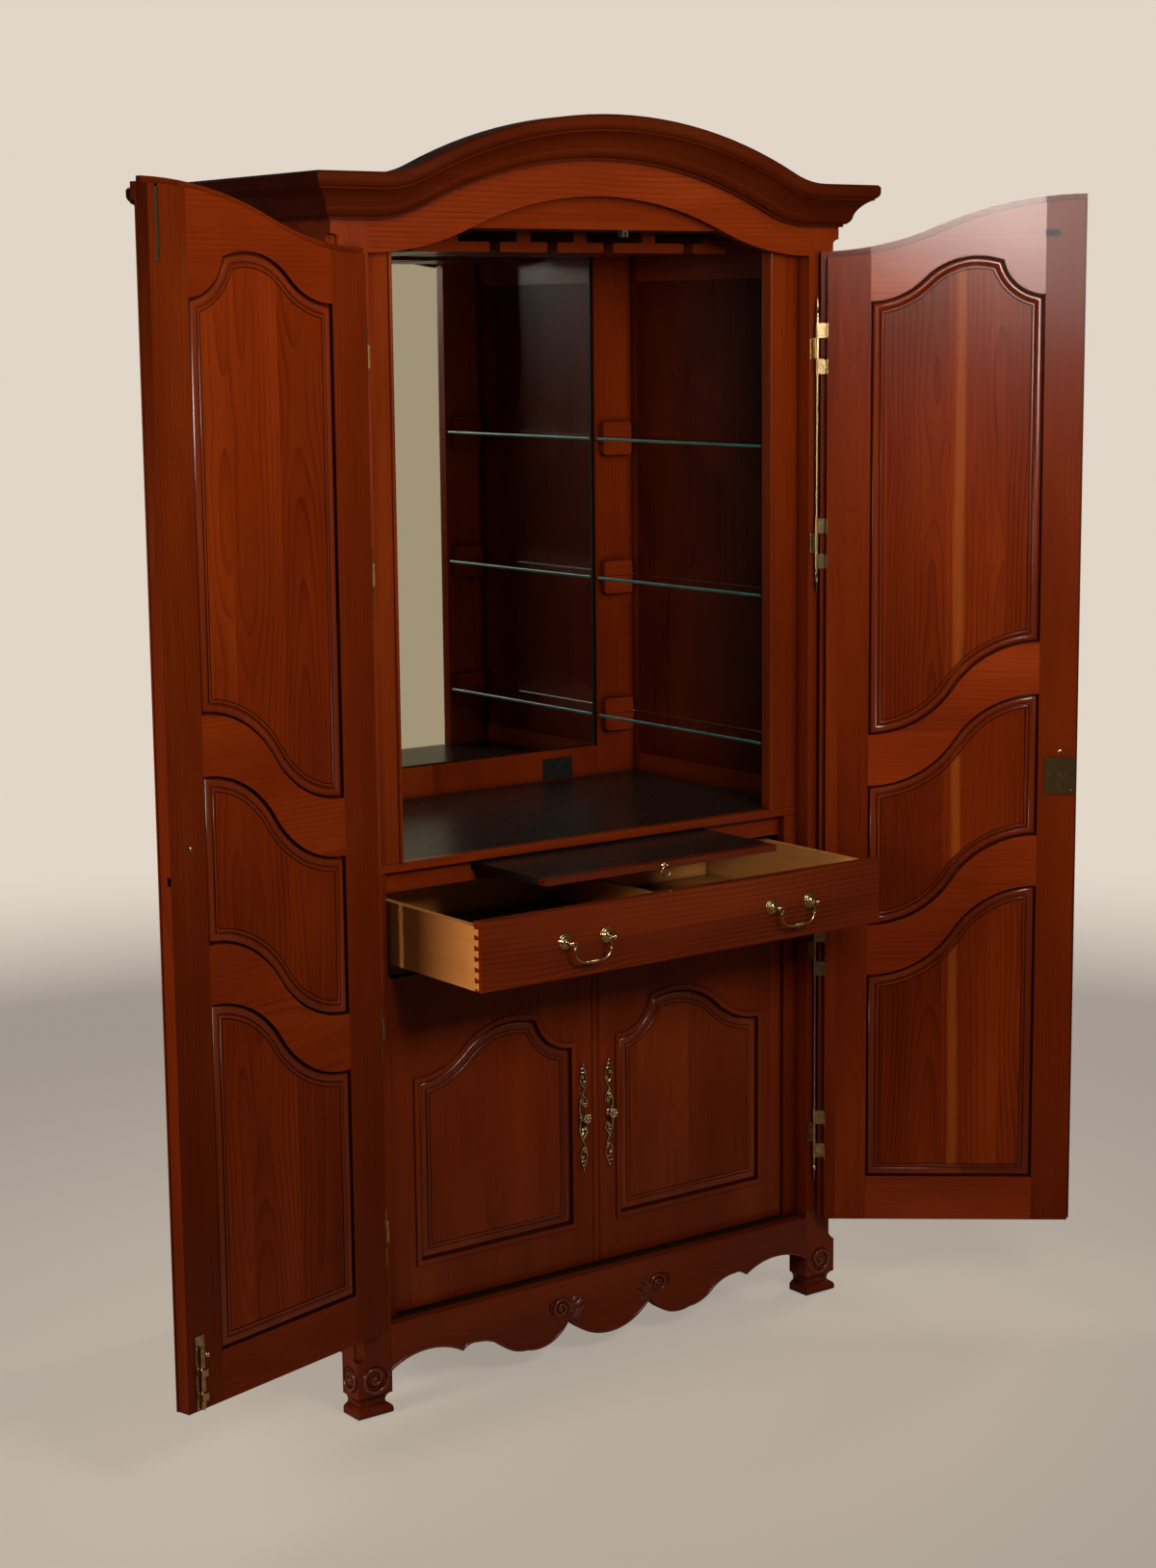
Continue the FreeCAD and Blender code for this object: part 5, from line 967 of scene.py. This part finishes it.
# Carving on the apron's right: a raised scroll outside the cusp, with an eye, and inside it a leaf of four
# lobes that fan out from the cusp, each with a raised vein along its middle.
def apronCarving(s):
    x, z = s["scroll"]
    scroll = scrollCurve((0, 0), s["radii"], s["turns"]) * (-1, 1) + s["scroll"]
    fade = fadeAlong(len(scroll), s["fade"])
    shells = [tubeShell(onFront(scroll, -s["out"]), front, s["band"][0] * fade, s["band"][1] * fade)]
    shells.append(beadShell((x, 0, z), s["eye"]))
    wide, high = (swell(s["leafSteps"], *s[key]) for key in ("leafWide", "leafHigh"))
    for keys in s["leaves"]:
        leaf = onFront(curveThrough(keys, s["leafSteps"]), s["sunk"])
        shells.append(tubeShell(leaf, front, wide, high))
        shells.append(tubeShell(leaf + high[:, None] * np.array(front), front, *s["vein"]))
    return shells


carvedAcross = woodMaterial("cherry_apron_carving", cherrySet, "across", seed=41.0, board=0.40, figure=0.4,
                            tone=0.9, coat=0.9)
makePiece("apron_edge_bead", apronBeads(apronSet), "case", carvedAcross)
for side, way in (("left", -1), ("right", 1)):
    makePiece("apron_carving_" + side, apronCarving(carvingSet), "case", carvedAcross,
              place=mirrored(way))

edgeSet = {"tops": (1097.0, 1378.0, 1658.0), "glass": 6.0, "x": 416.0, "front": 62.6, "back": 573.4,
           "steps": 24, "proud": 0.9, "less": 0.2}
mirrorSet = {"x": 410.6, "y": 586.0, "low": 1036.0, "high": 2041.0, "steps": 12, "half": (2.2, 0.8)}


# A half round along each shelf's inner edge: across = proud * cos, up = half the glass * sin.
def edgeShells(s):
    y = np.linspace(s["front"], s["back"], s["steps"])
    shells = []
    for top in s["tops"]:
        path = np.stack([np.full(len(y), s["x"]), y, np.full(len(y), top - s["glass"] / 2)], -1)
        shells.append(tubeShell(path, (0.0, 0.0, 1.0), s["proud"], s["glass"] / 2 - s["less"]))
    return shells


# A flat dark strip up each side of the mirror, partly its dark edge and partly painted shade of the shaded
# board sides beside it: an ellipse carried up a straight line.
def mirrorShells(s):
    upright = np.linspace((s["x"], s["y"], s["low"]), (s["x"], s["y"], s["high"]), s["steps"])
    return [tubeShell(upright * (way, 1, 1), front, *s["half"]) for way in (-1, 1)]


# green strips with painted light along the shelves' inner edges
edge = mottledMaterial("shelfEdgePaintedGlow", shelfEdgeGlowSet)
for side, way in (("left", -1), ("right", 1)):
    makePiece("shelf_edge_glow_" + side, edgeShells(edgeSet), "case", edge, place=mirrored(way))
# dark strips beside the mirror, partly painted shade
makePiece("mirror_edge_shade", mirrorShells(mirrorSet), "case",
          mottledMaterial("mirrorEdgePaintedShade", mirrorEdgeShadeSet))
print("glass edges made")

footSet = {"x": 515.5, "z": 69.0, "outer": 551.0, "frontRadii": (30.0, 4.5), "sideY": 25.0,
           "sideRadii": (22.0, 4.0), "turns": (20, -560), "band": (4.2, 3.0),
           "fade": ([0, 0.1, 0.75, 1], [0.4, 1, 0.85, 0.6]),
           "sideShare": 0.8, "eye": 5.2, "eyeOut": 3.6, "sideEyeOut": 3.4}


# Carving on the left foot: a raised scroll on its front and one on its outer side, both curling in from
# the far edge.
def footCarving(s):
    wide, high = s["band"]
    share, eye = s["sideShare"], s["eye"]
    scroll = scrollCurve((-s["x"], s["z"]), s["frontRadii"], s["turns"])
    fade = fadeAlong(len(scroll), s["fade"])
    shells = [tubeShell(onFront(scroll, 0), front, wide * fade, high * fade)]
    shells.append(beadShell((-s["x"], 0, s["z"]), (eye, s["eyeOut"], eye)))
    scroll = scrollCurve((s["sideY"], s["z"]), s["sideRadii"], s["turns"])
    path = np.stack([np.full(len(scroll), -s["outer"]), scroll[:, 0], scroll[:, 1]], -1)
    shells.append(tubeShell(path, (-1.0, 0.0, 0.0), wide * share * fade, high * fade))
    shells.append(beadShell((-s["outer"], s["sideY"], s["z"]), (s["sideEyeOut"], eye * share, eye * share)))
    return shells


carvedUp = woodMaterial("cherry_foot_carving", cherrySet, "up", seed=43.0, figure=0.3, tone=0.9, coat=0.9)
for side, way in (("left", 1), ("right", -1)):
    makePiece("foot_carving_" + side, footCarving(footSet), "case", carvedUp, place=mirrored(way))
print("carving made")
